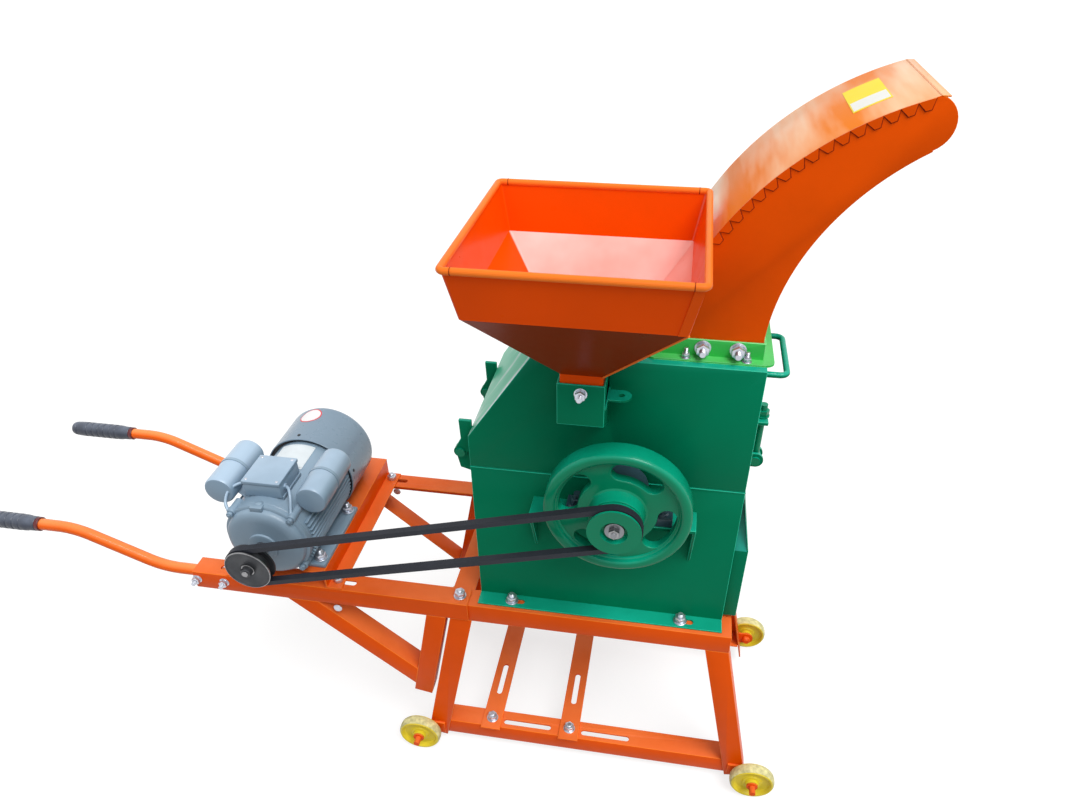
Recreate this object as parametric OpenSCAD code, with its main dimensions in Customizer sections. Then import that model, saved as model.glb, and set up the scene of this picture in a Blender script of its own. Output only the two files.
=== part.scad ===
// Feed chopper with grain hopper: a green housing with knives and hammers on an
// orange angle iron stand, driven through a belt by a motor on a side frame.
// Millimetres, +Z up. The machine's front, with flywheel and pulleys, faces -Y.

/* [Stand] */
// Height of the stand's top face
stand_h = 428; // [380:2:480]
// Reach of the stand to the left of the body's middle
stand_left = 268; // [240:2:300]
// Reach of the stand to the right of the body's middle
stand_right = 232; // [222:2:260]
// How far the stand's rails reach out past the housing's plates
stand_lip = 36; // [32:1:50]
// Leg width of all angle iron
iron = 40; // [36:1:45]
// Thickness of all angle iron
iron_t = 3; // [2.5:0.5:4]
// Lean of the legs out of the vertical, in degrees
leg_splay = 11.9; // [8:0.5:14]
// Height of the feet above the floor
foot_z = 24; // [15:1:32]
// Height of the lower rails' top face
lower_rail_z = 63; // [60:1:120]
// Width of the flat cross braces
brace_w = 40; // [30:1:50]
// Thickness of the flat cross braces
brace_t = 4; // [3:0.5:6]
// Length of the slots in the braces
brace_slot_l = 78; // [50:1:100]
// Length of the slots in the front lower rail
rail_slot_l = 98; // [60:1:110]
// Width of every slot
slot_w = 11; // [10.5:0.5:13]

/* [Wheels] */
// Diameter of the wheels
wheel_d = 86; // [70:1:100]
// Width of the wheels
wheel_w = 24; // [18:1:30]
// How far the wheel axles stand outside the top corners of the stand
wheel_out = 88; // [84:1:96]
// Diameter of the wheel axles
axle_d = 12; // [10:1:14]
// Length of axle that shows past the wheel
axle_stub = 18; // [10:1:24]

/* [Body] */
// Width of the housing
body_w = 430; // [420:2:450]
// Depth of the housing, front to back
body_d = 264; // [250:2:290]
// Height of the lower housing, from the stand to the split
lower_h = 290; // [280:2:310]
// Height of the hood above the split
hood_h = 213; // [205:1:230]
// Height of the fold on the hood's left side above the split
fold_h = 58; // [50:1:70]
// Width of the slanted face on the hood's left side
slant_w = 106; // [80:2:120]
// Thickness of the sheet steel
sheet = 3; // [2:0.5:4]
// Width of the housing's feet flanges
foot_flange = 28.5; // [24:0.5:31]
// Gap along the split
split_gap = 1; // [0.5:0.1:1.5]

/* [Rotor] */
// Offset of the main shaft to the right of the body's middle
shaft_x = 27; // [22:1:32]
// Diameter of the main shaft
shaft_d = 35; // [30:1:38]
// Diameter of the flywheel
flywheel_d = 221; // [205:1:228]
// Width of the flywheel's rim
flywheel_w = 36; // [30:1:40]
// Gap between the front plate and the flywheel
flywheel_gap = 48; // [47:1:54]
// Diameter of both belt pulleys
pulley_d = 80; // [76:1:90]
// Width of both belt pulleys
pulley_w = 22; // [20:1:26]
// Distance from the front plate to the pulleys' front face
pulley_reach = 121; // [118:1:128]
// Gap between the knives' sweep and the housing's outer right face
sweep_gap = 18; // [16:1:26]
// Height of a bearing's centre over its base
bearing_h = 47.6; // [46:0.1:50]

/* [Motor] */
// Distance of the motor's shaft to the left of the body's middle
motor_left = 580; // [570:2:620]
// Height of the motor's shaft over its feet
motor_h = 74; // [73:1:80]
// Radius of the motor's casing
motor_r = 76; // [70:1:77]
// Length of the motor's casing
motor_l = 187; // [178:1:195]
// Radius of the capacitors
capacitor_r = 27; // [22:1:29]
// Length of the capacitors
capacitor_l = 120; // [100:1:130]
// Reach of the motor rails to the left of the body's middle
motor_rail_left = 763; // [755:1:800]
// Height of the cross rails that carry the motor
cross_h = 40; // [36:1:45]

/* [Handles] */
// Outer diameter of the handle tubes
tube_d = 22; // [20:1:25]
// Reach of the grips' ends to the left of the body's middle
handle_reach = 1210; // [1190:5:1260]
// Height that the handles rise over the rails
handle_rise = 75; // [50:1:100]
// Slope of the rising stretch, in degrees
handle_slope = 25; // [20:1:32]
// Radius of the bends
bend_r = 150; // [120:5:160]
// Length of the grips
grip_l = 145; // [110:1:150]
// Diameter of the grips
grip_d = 32; // [30:1:36]

/* [Hopper] */
// Width of the hopper's rim
hopper_w = 300; // [280:2:320]
// Depth of the hopper's rim
hopper_d = 314; // [300:2:330]
// Height of the hopper's rim over the hood
hopper_h = 204; // [190:2:220]
// Height of the hopper's upright upper part
hopper_box_h = 70; // [60:1:80]
// How far the upright part narrows on each side
hopper_taper = 13; // [8:1:18]
// Width of the grain box on the front plate
grain_w = 66; // [60:1:74]
// Depth of the grain box
grain_d = 62; // [56:1:70]
// Height of the grain box's front face
grain_h = 66; // [60:1:70]
// Travel of the grain gate
gate_travel = 45; // [30:1:48]

/* [Chute] */
// Width of the discharge chute, front to back
chute_w = 204; // [190:2:212]
// Distance of the chute's left wall from the body's middle, at the hood
chute_left = 63; // [58:1:72]
// Distance of the chute's right wall from the body's middle
chute_right = 207; // [200:1:207]
// Radius of the chute's outer curve
chute_outer_r = 406; // [396:2:416]
// Radius of the chute's inner curve
chute_inner_r = 312; // [302:2:322]
// Height of the collar's upright wall
collar_h = 25; // [20:1:30]

/* [Feed trough] */
// Inner width of the feed throat
throat_w = 110; // [90:1:115]
// Inner height of the feed throat
throat_h = 74; // [60:1:75]
// Length of the trough behind the housing
trough_l = 330; // [250:5:400]
// Inner width of the trough's mouth
mouth_w = 250; // [180:5:270]

/* [Hidden] */
$fn = 48;

orange = "orangered";
green = "seagreen";
grey = "lightslategray";
zinc = "silver";

// A fit in a bore, a turning shaft's fit, a gap between bodies, how far cuts reach
// past a face, and how deep the shapes of one piece reach into each other
fit = 0.05;
run = 0.2;
gap = 0.3;
cut = 1;
lap = 0.5;

split_z = stand_h + lower_h;
hood_z = split_z + hood_h;
shaft_z = split_z - 0.5;
half_w = body_w / 2;
rail_z = stand_h + iron_t;
stand_front = -stand_lip;
stand_rear = body_d + stand_lip;
stand_l = stand_left + stand_right;
stand_w = stand_rear - stand_front;
stand_mid_x = (stand_right - stand_left) / 2;
stand_mid_y = body_d / 2;
rail_under = stand_h - iron;

// Wheels stand clear in front of a tab on each leg
tab_t = 4;
tab_r = 15;
wheel_z = wheel_d / 2;
wheel_gap = 4;
wheel_x = stand_l / 2 + wheel_out;
axle_l = tab_t + wheel_gap + wheel_w + axle_stub;

// Belt drive
motor_x = -motor_left;
cross_z = rail_z + cross_h;
motor_z = cross_z + motor_h;
belt_w = 12;
belt_t = 9;
belt_out = 1.5;
belt_dx = shaft_x - motor_x;
belt_dz = shaft_z - motor_z;
belt_angle = atan2(belt_dz, belt_dx);
pulley_y = -pulley_reach;
belt_y = pulley_y + pulley_w / 2;
belt_in_r = pulley_d / 2 + belt_out - belt_t;

// Motor frame
motor_rail_l = motor_rail_left - (stand_left - iron + 4);
post_w = 36;
post_gap = 7;
post_l = 240;
diagonal_angle = 42.7;
diagonal_left = motor_left;

// Handles
tube_t = 2;
bend_thin = 0.2;
handle_z = stand_h - 14;
bend_out = 39;
tube_in = 72.5;
handle_bend_x = -(motor_rail_left + bend_out);
handle_y = stand_front + 18;
slope_run = (handle_rise - 2 * bend_r * (1 - cos(handle_slope))) / sin(handle_slope);
handle_start = tube_in - motor_rail_left;

// Motor lengthways
motor_front = -35;
motor_back = motor_front + motor_l;
shield_l = 25;
cover_l = 117;
cover_lap = 13;
cover_out = 9;
motor_shaft_r = 12;
core_in = 35;
core_l = motor_l - 2 * core_in;
core_bore = 45;
fan_r = 64;
fan_hub_r = 20;
fan_l = 30;
foot_x = 72;
foot_y = [-12, 119];
foot_t = 10;
cap_x = 84;
cap_z = 78;
cap_y = -20;

// Rotor
sweep_r = half_w - shaft_x - sweep_gap;
disc_t = 12;
knife_t = 8;
knife_gap = 7;
disc_y = body_d - sheet - knife_gap - knife_t - disc_t;
hammer_disc_y = 40;
hammer_disc_t = 8;
pin_in = 65;
pin_ring = sweep_r - pin_in;
pin_r = 8;
hammer_reach = pin_in - 5;
hammer_n = 4;
bearing_w = 38;
bearing_y = [-5 - bearing_w, body_d + 5];
bore_r = shaft_d / 2 + fit;
nose_r = 15;
tail_r = 15;
tail_l = 14;

// Hinge on the left, latch on the right
hinge_x = -(half_w + 21);
hinge_z = split_z + 10;
hinge_r = 11;
hinge_pin_r = 5;
hinge_y = [22, 202];
lug_t = 6;
latch_x = half_w + 21;
latch_z = split_z - 16;
latch_y = 120;
latch_ear_z = split_z + 64;
latch_rod_r = 6;

// Grain box and hopper
grain_x = -32;
grain_top = hood_z - 6;
neck_w = grain_w - 2 * sheet - 2 * gap;
neck_d = grain_d - sheet - 2 * gap;
neck_y = -gap - neck_d / 2;
hopper_x = -30.6;
hopper_y = -28;
rim_r = 5;
hopper_top = hood_z + hopper_h - rim_r;
hopper_fold = hopper_top - hopper_box_h + rim_r;
pyramid_z = hood_z + 7;
gate_z = grain_top - 40;
gate_t = 3;
gate_tab_w = 28;

// Chute curves, in the plane seen from the front
chute_y = (body_d - chute_w) / 2;
chute_t = 2;
outer_cx = chute_left + chute_outer_r - 2;
outer_cz = hood_z - 43;
inner_cx = chute_right + chute_inner_r;
inner_cz = hood_z + 20;
outer_start = 172;
outer_end = 106.9;
inner_end = 121.6;
tip_out = [outer_cx + chute_outer_r * cos(outer_end), outer_cz + chute_outer_r * sin(outer_end)];
tip_in = [inner_cx + chute_inner_r * cos(inner_end), inner_cz + chute_inner_r * sin(inner_end)];
nose_out_r = norm(tip_out - tip_in) / 2 + 1.3;
nose_x = (tip_out[0] + tip_in[0]) / 2 - 10.5;
nose_z = (tip_out[1] + tip_in[1]) / 2;
chute_base_z = hood_z + iron_t + gap;

// Feed trough
throat_x = -30;
throat_z = split_z - 138;
trough_t = 2.5;
trough_lid = 120;

// The frame's origin lies under the middle of the whole machine
frame_x = (nose_x + nose_out_r - handle_reach) / 2;
frame_y = (body_d + trough_l + hopper_y - hopper_d / 2) / 2;

function arc(cx, cz, r, a0, a1, n) =
    [for (i = [0 : n]) let (a = a0 + (a1 - a0) * i / n) [cx + r * cos(a), cz + r * sin(a)]];

// Places a piece from the machine's own axes into the frame
module at_frame() {
    translate([-frame_x, -frame_y, 0]) children();
}

// Extrudes an outline seen from the front, from y to y + d
module front_outline(y, d) {
    translate([0, y + d, 0]) rotate([90, 0, 0]) linear_extrude(d) children();
}

// Extrudes an outline seen from the side, from x to x + w
module side_outline(x, w) {
    translate([x, 0, 0]) rotate([90, 0, 90]) linear_extrude(w) children();
}

// Round bar along Y
module rod_y(x, z, y, l, r) {
    translate([x, y, z]) rotate([-90, 0, 0]) cylinder(r = r, h = l);
}

// Turned piece with its axis along Y, its outline drawn as radius and Y
module turned_y(x, z, y) {
    translate([x, y, z]) rotate([-90, 0, 0]) rotate_extrude() children();
}

// Repeats a piece on the left and right of the stand's middle
module left_right() {
    children();
    translate([2 * stand_mid_x, 0, 0]) mirror([1, 0, 0]) children();
}

// Repeats a piece at the rear, mirrored about the housing's middle
module to_rear() {
    translate([0, 2 * stand_mid_y, 0]) mirror([0, 1, 0]) children();
}

module front_rear() {
    children();
    to_rear() children();
}

// Angle iron along X, its corner on the origin, with one leg back and one down
module angle_x(l) {
    translate([0, 0, -iron_t]) cube([l, iron, iron_t]);
    translate([0, 0, -iron]) cube([l, iron_t, iron]);
}

// Slot along X through a plate
module slot_x(l, w, t) {
    translate([-l / 2 + w / 2, 0, -cut]) cylinder(d = w, h = t + 2 * cut);
    translate([l / 2 - w / 2, 0, -cut]) cylinder(d = w, h = t + 2 * cut);
    translate([-l / 2 + w / 2, -w / 2, -cut]) cube([l - w, w, t + 2 * cut]);
}

// Hex bolt pointing down from the origin, with a washer, and a nut under the grip
module bolt_down(d, grip) {
    union() {
        translate([0, 0, 2]) cylinder(d = 1.8 * d, h = 0.65 * d, $fn = 6);
        cylinder(d = 2.2 * d, h = 2);
        translate([0, 0, -grip - 1.2 * d]) cylinder(d = d, h = grip + 1.2 * d + 2);
        translate([0, 0, -grip - 0.8 * d]) cylinder(d = 1.8 * d, h = 0.8 * d, $fn = 6);
    }
}

// Stand

module stand_top_frame() {
    color(orange) at_frame() difference() {
        translate([-stand_left, stand_front, rail_under]) cube([stand_l, stand_w, iron]);
        translate([-stand_left + iron_t, stand_front + iron_t, rail_under - cut])
            cube([stand_l - 2 * iron_t, stand_w - 2 * iron_t, iron - iron_t + cut]);
        translate([-stand_left + iron, stand_front + iron, rail_under - cut])
            cube([stand_l - 2 * iron, stand_w - 2 * iron, iron + 2 * cut]);
        stand_bolt_holes();
    }
}

housing_bolt_x = [-(half_w - 60), half_w - 72];
housing_bolt_y = -foot_flange / 2;
rail_bolt_x = -(stand_left - 18);
rail_bolt_y = stand_front + iron / 2 - 2;
m10 = 10;

module stand_bolt_holes() {
    front_rear() {
        for (x = housing_bolt_x) translate([x, housing_bolt_y, rail_under]) cylinder(d = m10 + 2 * gap, h = iron + cut);
        translate([rail_bolt_x, rail_bolt_y, rail_under]) cylinder(d = m10 + 2 * gap, h = iron + cut);
    }
}

// Front left leg, drawn from the stand's outer corner just under the rails
module leg() {
    leg_l = (rail_under - foot_z) / cos(leg_splay);
    tab_z = wheel_z - rail_under;
    translate([-stand_left, stand_front, rail_under]) {
        difference() {
            rotate([0, leg_splay, 0]) translate([0, 0, -leg_l]) {
                cube([iron, iron_t, leg_l + iron]);
                cube([iron_t, iron, leg_l + iron]);
            }
            translate([-iron, -cut, 0]) cube([3 * iron, iron + 2 * cut, 2 * iron]);
        }
        difference() {
            union() {
                rod_y(-wheel_out, tab_z, -tab_t, tab_t, tab_r);
                translate([-wheel_out, -tab_t, tab_z - tab_r]) cube([wheel_out - iron, tab_t, 2 * tab_r]);
            }
            rod_y(-wheel_out, tab_z, -tab_t - cut, tab_t + 2 * cut, axle_d / 2 + fit);
        }
    }
}

module mirrored_left_right() {
    translate([2 * stand_mid_x, 0, 0]) mirror([1, 0, 0]) children();
}

module leg_front_left() { color(orange) at_frame() leg(); }
module leg_front_right() { color(orange) at_frame() mirrored_left_right() leg(); }
module leg_rear_left() { color(orange) at_frame() to_rear() leg(); }
module leg_rear_right() { color(orange) at_frame() to_rear() mirrored_left_right() leg(); }

lower_rail_half = stand_l / 2 + (rail_under - lower_rail_z) * tan(leg_splay) - iron_t / cos(leg_splay) - gap;
rail_slot_x = [-136, 25];
brace_x = [-210, -49];
brace_bolt_y = stand_front + 20;

module lower_rail() {
    translate([stand_mid_x - lower_rail_half, stand_front + iron_t, lower_rail_z])
        angle_x(2 * lower_rail_half);
}

module lower_rails() {
    color(orange) at_frame() difference() {
        front_rear() lower_rail();
        for (x = rail_slot_x) translate([x, stand_front + 18, lower_rail_z - iron_t])
            slot_x(rail_slot_l, slot_w, iron_t);
        front_rear() for (x = brace_x) translate([x, brace_bolt_y, lower_rail_z - iron])
            cylinder(d = m10 + 2 * gap, h = iron + cut);
    }
}

module braces() {
    brace_over = 5;
    color(orange) at_frame() for (x = brace_x) difference() {
        translate([x - brace_w / 2, stand_front - brace_over, lower_rail_z])
            cube([brace_w, stand_w + 2 * brace_over, brace_t]);
        translate([x, stand_front + 119, lower_rail_z]) rotate([0, 0, 90])
            slot_x(brace_slot_l, slot_w, brace_t);
        front_rear() translate([x, brace_bolt_y, lower_rail_z - cut])
            cylinder(d = m10 + 2 * gap, h = brace_t + 2 * cut);
    }
}

// Wheels, each on its own axle

module wheel_at() {
    hub_r = 20;
    dish = 4;
    rim_t = 8;
    turned_y(stand_mid_x - wheel_x, wheel_z, stand_front - tab_t - wheel_gap - wheel_w)
        polygon([[axle_d / 2 + fit, 0], [hub_r, 0], [hub_r + 2, dish], [wheel_d / 2 - rim_t - 3, dish],
            [wheel_d / 2 - rim_t, 0.5], [wheel_d / 2 - 2, 0.5], [wheel_d / 2, 3],
            [wheel_d / 2, wheel_w - 3], [wheel_d / 2 - 2, wheel_w - 0.5], [wheel_d / 2 - rim_t, wheel_w - 0.5],
            [wheel_d / 2 - rim_t - 3, wheel_w - dish], [hub_r + 2, wheel_w - dish], [hub_r, wheel_w],
            [axle_d / 2 + fit, wheel_w]]);
}

module wheel_front_left() { color("khaki") at_frame() wheel_at(); }
module wheel_front_right() { color("khaki") at_frame() mirrored_left_right() wheel_at(); }
module wheel_rear_left() { color("khaki") at_frame() to_rear() wheel_at(); }
module wheel_rear_right() { color("khaki") at_frame() to_rear() mirrored_left_right() wheel_at(); }

module axle() {
    washer_t = wheel_gap - 2 * gap;
    nut_t = 8;
    x = stand_mid_x - wheel_x;
    y = stand_front - tab_t;
    union() {
        rod_y(x, wheel_z, y + tab_t - axle_l, axle_l + nut_t + 2, axle_d / 2);
        rod_y(x, wheel_z, y - washer_t, washer_t, axle_d);
        rod_y(x, wheel_z, y - wheel_gap - wheel_w - gap - 3, 3, axle_d * 0.9);
        translate([x, y + tab_t, wheel_z]) rotate([-90, 0, 0]) cylinder(d = 1.6 * axle_d, h = nut_t, $fn = 6);
    }
}

module wheel_axles() {
    color(orange) at_frame() front_rear() left_right() axle();
}

// Motor frame

rail_slot = [-(motor_left - 108), -(motor_left + 108)];
cross_bolt_x = [-(motor_left - 100), -(motor_left + 100)];
rail_slot_y = stand_front - iron_t + 20;
handle_bolt_x = [-(motor_rail_left - 7), -(motor_rail_left - 62)];

module motor_rail() {
    difference() {
        translate([-motor_rail_left, stand_front - iron_t, rail_z]) angle_x(motor_rail_l);
        for (x = rail_slot) translate([x, rail_slot_y, stand_h]) slot_x(52, slot_w, iron_t);
        translate([rail_bolt_x, rail_bolt_y, stand_h - cut]) cylinder(d = m10 + 2 * gap, h = iron_t + 2 * cut);
        for (x = handle_bolt_x) rod_y(x, handle_z, stand_front - iron_t - cut, iron_t + 2 * cut, 4 + gap);
    }
}

module motor_rail_front() { color(orange) at_frame() motor_rail(); }
module motor_rail_rear() { color(orange) at_frame() to_rear() motor_rail(); }

cross_web_x = 86;

module cross_rail() {
    lip = 27;
    y0 = stand_front - iron_t;
    difference() {
        union() {
            translate([motor_x + cross_web_x - iron, y0, cross_z - iron_t]) cube([iron, stand_w + 2 * iron_t, iron_t]);
            translate([motor_x + cross_web_x - iron_t, y0, rail_z]) cube([iron_t, stand_w + 2 * iron_t, cross_h]);
            translate([motor_x + cross_web_x - iron_t, y0, rail_z]) cube([lip + iron_t, stand_w + 2 * iron_t, iron_t]);
        }
        for (y = foot_y) translate([motor_x + foot_x, y, cross_z - iron_t - cut])
            cylinder(d = m10 + 2 * gap, h = iron_t + 2 * cut);
        front_rear() translate([cross_bolt_x[0], rail_slot_y, rail_z - cut])
            cylinder(d = m10 + 2 * gap, h = iron_t + 2 * cut);
    }
}

module beside_motor() {
    children();
    translate([2 * motor_x, 0, 0]) mirror([1, 0, 0]) children();
}

module motor_cross_rails() {
    color(orange) at_frame() beside_motor() cross_rail();
}

// Struts run parallel to the left legs, and a diagonal holds each rail
module strut_post() {
    y0 = stand_front - iron_t;
    difference() {
        translate([-stand_left - post_gap, y0, rail_under + iron_t]) rotate([0, leg_splay, 0])
            translate([-post_w, 0, -post_l]) {
                cube([post_w, iron_t, post_l + iron]);
                translate([post_w - iron_t, 0, 0]) cube([iron_t, iron - 4, post_l + iron]);
            }
        translate([-stand_left - 3 * iron, y0 - cut, rail_under + iron_t]) cube([4 * iron, iron + 2 * cut, 2 * iron]);
    }
}

module strut_posts() {
    color(orange) at_frame() front_rear() strut_post();
}

module strut_diagonal() {
    top = rail_under + iron_t;
    low = top - post_l;
    post_x = -stand_left - post_gap - post_w / cos(leg_splay);
    intersection() {
        translate([-diagonal_left, stand_front - iron_t, top]) rotate([0, diagonal_angle, 0])
            translate([-2 * iron, 0, 0]) {
                cube([10 * iron, iron_t, iron]);
                translate([0, 0, iron - iron_t]) cube([10 * iron, iron, iron_t]);
            }
        front_outline(stand_front - 2 * iron_t, 2 * iron)
            polygon([[-motor_rail_left, top], [post_x, top],
                [post_x - post_l * tan(leg_splay), low], [-motor_rail_left, low]]);
    }
}

module strut_diagonals() {
    color(orange) at_frame() front_rear() strut_diagonal();
}

// Handles: a bent tube inside each motor rail, level again under the grip

bend1 = [handle_bend_x, handle_z + bend_r];
slope_x = handle_bend_x - bend_r * sin(handle_slope);
slope_z = handle_z + bend_r * (1 - cos(handle_slope));
slope_end_x = slope_x - slope_run * cos(handle_slope);
slope_end_z = slope_z + slope_run * sin(handle_slope);
bend2 = [slope_end_x - bend_r * sin(handle_slope), slope_end_z - bend_r * cos(handle_slope)];
grip_z = handle_z + handle_rise;

// Bend of a round bar about a centre, between two angles seen from the front
module bar_bend(centre, a0, a1, d) {
    translate([centre[0], handle_y, centre[1]]) rotate([90, 0, 0]) rotate([0, 0, a0])
        rotate_extrude(angle = a1 - a0) translate([bend_r, 0]) circle(d = d - bend_thin);
}

// Straight round bar from a point, leaning up to the left by an angle
module bar_run(x, z, angle, l, d) {
    translate([x, handle_y, z]) rotate([0, angle - 90, 0]) translate([0, 0, -lap])
        cylinder(d = d, h = l + 2 * lap);
}

module handle_path(d, past) {
    union() {
        bar_run(handle_start + past, handle_z, 0, handle_start + past - handle_bend_x, d);
        bar_bend(bend1, 270 - handle_slope, 270, d);
        bar_run(slope_x, slope_z, handle_slope, slope_run, d);
        bar_bend(bend2, 90 - handle_slope, 90, d);
        bar_run(bend2[0], grip_z, 0, bend2[0] + handle_reach - 6 + past, d);
    }
}

module handle() {
    difference() {
        handle_path(tube_d, 0);
        handle_path(tube_d - 2 * tube_t, cut);
        for (x = handle_bolt_x) rod_y(x, handle_z, handle_y - tube_d, 2 * tube_d, 4 + gap);
    }
}

module handle_front() { color(orange) at_frame() handle(); }
module handle_rear() { color(orange) at_frame() to_rear() handle(); }

module grip() {
    rib_n = 8;
    rib = grip_l / (2 * rib_n + 3);
    r = grip_d / 2;
    translate([-handle_reach, handle_y, grip_z]) rotate([0, 90, 0]) difference() {
        union() {
            cylinder(r = r - 1.5, h = grip_l);
            for (i = [0 : rib_n]) translate([0, 0, 2 * rib * i + rib / 2]) cylinder(r = r, h = rib);
            translate([0, 0, grip_l - 5]) cylinder(r = r + 1.5, h = 5);
        }
        translate([0, 0, 5]) cylinder(r = tube_d / 2 + gap / 2, h = grip_l);
    }
}

module grips() {
    color("dimgray") at_frame() front_rear() grip();
}

// All loose bolts of the stand, the housing's feet, the motor's feet and the handles
module frame_bolts() {
    color(zinc) at_frame() {
        front_rear() {
            for (x = housing_bolt_x) translate([x, housing_bolt_y, stand_h + sheet]) bolt_down(m10, sheet + iron_t);
            translate([rail_bolt_x, rail_bolt_y, rail_z]) bolt_down(m10, 2 * iron_t);
            for (x = brace_x) translate([x, brace_bolt_y, lower_rail_z + brace_t]) bolt_down(m10, brace_t + iron_t);
            for (x = cross_bolt_x) translate([x, rail_slot_y, rail_z + iron_t]) bolt_down(m10, 2 * iron_t);
            for (x = handle_bolt_x) translate([x, stand_front - iron_t, handle_z]) rotate([90, 0, 0])
                bolt_down(8, iron_t + tube_d + 7);
        }
        beside_motor() for (y = foot_y) translate([motor_x + foot_x, y, cross_z + foot_t])
            bolt_down(m10, foot_t + iron_t);
    }
}

// Motor

module motor_casing() {
    fin_w = 3;
    fin_r = motor_r + 6;
    back_t = 12;
    web_x = foot_x - 14;
    color(grey) at_frame() difference() {
        union() {
            rod_y(motor_x, motor_z, motor_front, motor_l, motor_r);
            for (side = [0, 180], a = [-34 : 10 : 20]) translate([motor_x, 0, motor_z])
                rotate([0, side == 0 ? -a : a + 180, 0])
                translate([motor_r - 4, motor_front + 6, -fin_w / 2]) cube([fin_r - motor_r + 4, motor_l - cover_lap - 8, fin_w]);
            beside_motor() {
                translate([motor_x + web_x - 8, foot_y[0] - 16, cross_z]) cube([36, foot_y[1] - foot_y[0] + 32, foot_t]);
                for (y = foot_y) translate([motor_x + web_x - 18, y - 10, cross_z]) cube([12, 20, 30]);
            }
        }
        rod_y(motor_x, motor_z, motor_front - cut, motor_l - back_t + cut, motor_r - 6);
        rod_y(motor_x, motor_z, motor_front, motor_l + cut, motor_shaft_r + run);
        beside_motor() for (y = foot_y) translate([motor_x + foot_x, y, cross_z - cut])
            cylinder(d = m10 + 2 * gap, h = foot_t + 2 * cut);
    }
}

module motor_end_shield() {
    r = motor_r;
    bore = motor_shaft_r + run;
    color(grey) at_frame() turned_y(motor_x, motor_z, motor_front - shield_l)
        polygon([[bore, -4], [26, -4], [28, 0], [r - 14, 2], [r - 8, 6], [r - 6, shield_l - 8],
            [r, shield_l - 8], [r, shield_l], [r - 12, shield_l], [r - 14, 8], [28, 6], [28, shield_l - 4],
            [bore, shield_l - 4]]);
}

module motor_fan_cover() {
    r = motor_r + cover_out;
    t = 2;
    lap_r = motor_r + gap;
    band = 7;
    color(grey) at_frame() difference() {
        turned_y(motor_x, motor_z, motor_back - cover_lap)
            polygon([[r - t, 0], [r, 0], [r, cover_l - 14], [r - 4, cover_l - 4], [r - 14, cover_l], [0, cover_l],
                [0, cover_l - t], [r - 14, cover_l - t], [r - t - 2, cover_l - 14], [r - t, cover_lap + 4],
                [lap_r, cover_lap + 4], [lap_r, band], [r - t, band]]);
        for (ring = [20 : 12 : 56], a = [0 : 30 : 359])
            rod_y(motor_x + ring * cos(a), motor_z + ring * sin(a), motor_back - cover_lap + cover_l - 2 * t, 3 * t, 3);
    }
}

module motor_terminal_box() {
    w = 68;
    d = 74;
    y = -17;
    lid_t = 7;
    lid_z = motor_z + 106;
    base_z = motor_z + motor_r + gap;
    left = motor_x - w / 2 - 3;
    color(grey) at_frame() {
        translate([left, y, base_z]) cube([w, d, lid_z - base_z - lid_t]);
        translate([left - 1, y - 1, lid_z - lid_t]) cube([w + 2, d + 2, lid_t]);
    }
}

// Capacitor can with its saddle, drawn on the right of the motor
module capacitor() {
    saddle_w = 26;
    difference() {
        union() {
            rod_y(motor_x + cap_x, motor_z + cap_z, cap_y, capacitor_l, capacitor_r);
            translate([motor_x, 0, motor_z]) rotate([0, -atan2(cap_z, cap_x), 0])
                translate([motor_r - 6, cap_y + 24, -saddle_w / 2]) cube([24, capacitor_l - 48, saddle_w]);
        }
        rod_y(motor_x, motor_z, motor_front, motor_l, motor_r + gap);
    }
}

module capacitor_right() { color(grey) at_frame() capacitor(); }
module capacitor_left() { color(grey) at_frame() translate([2 * motor_x, 0, 0]) mirror([1, 0, 0]) capacitor(); }

module motor_stator() {
    color("sienna") at_frame() difference() {
        rod_y(motor_x, motor_z, motor_front + core_in, core_l, motor_r - 6 - gap / 2);
        rod_y(motor_x, motor_z, motor_front + core_in - cut, core_l + 2 * cut, core_bore);
    }
}

module motor_rotor() {
    color(zinc) at_frame() {
        rod_y(motor_x, motor_z, pulley_y + 4, motor_back + 48 - pulley_y, motor_shaft_r);
        rod_y(motor_x, motor_z, motor_front + core_in + 5, core_l - 10, core_bore - 1);
    }
}

module motor_fan() {
    blade_n = 6;
    blade_t = 3;
    y = motor_back + 14;
    color("dimgray") at_frame() difference() {
        union() {
            rod_y(motor_x, motor_z, y, fan_l, fan_hub_r);
            rod_y(motor_x, motor_z, y, blade_t, fan_r - 2);
            for (i = [0 : blade_n - 1]) translate([motor_x, y, motor_z]) rotate([0, i * 360 / blade_n, 0])
                translate([fan_hub_r - 4, 0, -blade_t / 2]) cube([fan_r - fan_hub_r + 4, fan_l - 2, blade_t]);
        }
        rod_y(motor_x, motor_z, y - cut, fan_l + 2 * cut, motor_shaft_r + fit);
    }
}

// Grooved pulley with a recess in its front face
module pulley(x, z, bore, hub_l) {
    r = pulley_d / 2;
    floor_r = belt_in_r - gap;
    lip = (pulley_w - belt_w - 3) / 2;
    inner_lip = (pulley_w - belt_w - 2 * gap) / 2;
    turned_y(x, z, pulley_y)
        polygon([[bore, 8], [19, 8], [20, 0], [r, 0], [r, lip], [floor_r, inner_lip], [floor_r, pulley_w - inner_lip],
            [r, pulley_w - lip], [r, pulley_w], [24, pulley_w], [24, pulley_w + hub_l], [bore, pulley_w + hub_l]]);
}

module motor_pulley() { color("darkslategray") at_frame() pulley(motor_x, motor_z, motor_shaft_r + fit, 10); }
module main_pulley() { color(green) at_frame() pulley(shaft_x, shaft_z, nose_r + fit, 1); }

module belt_outline(r) {
    polygon(concat(arc(shaft_x, shaft_z, r, belt_angle - 90, belt_angle + 90, 40),
        arc(motor_x, motor_z, r, belt_angle + 90, belt_angle + 270, 40)));
}

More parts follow.
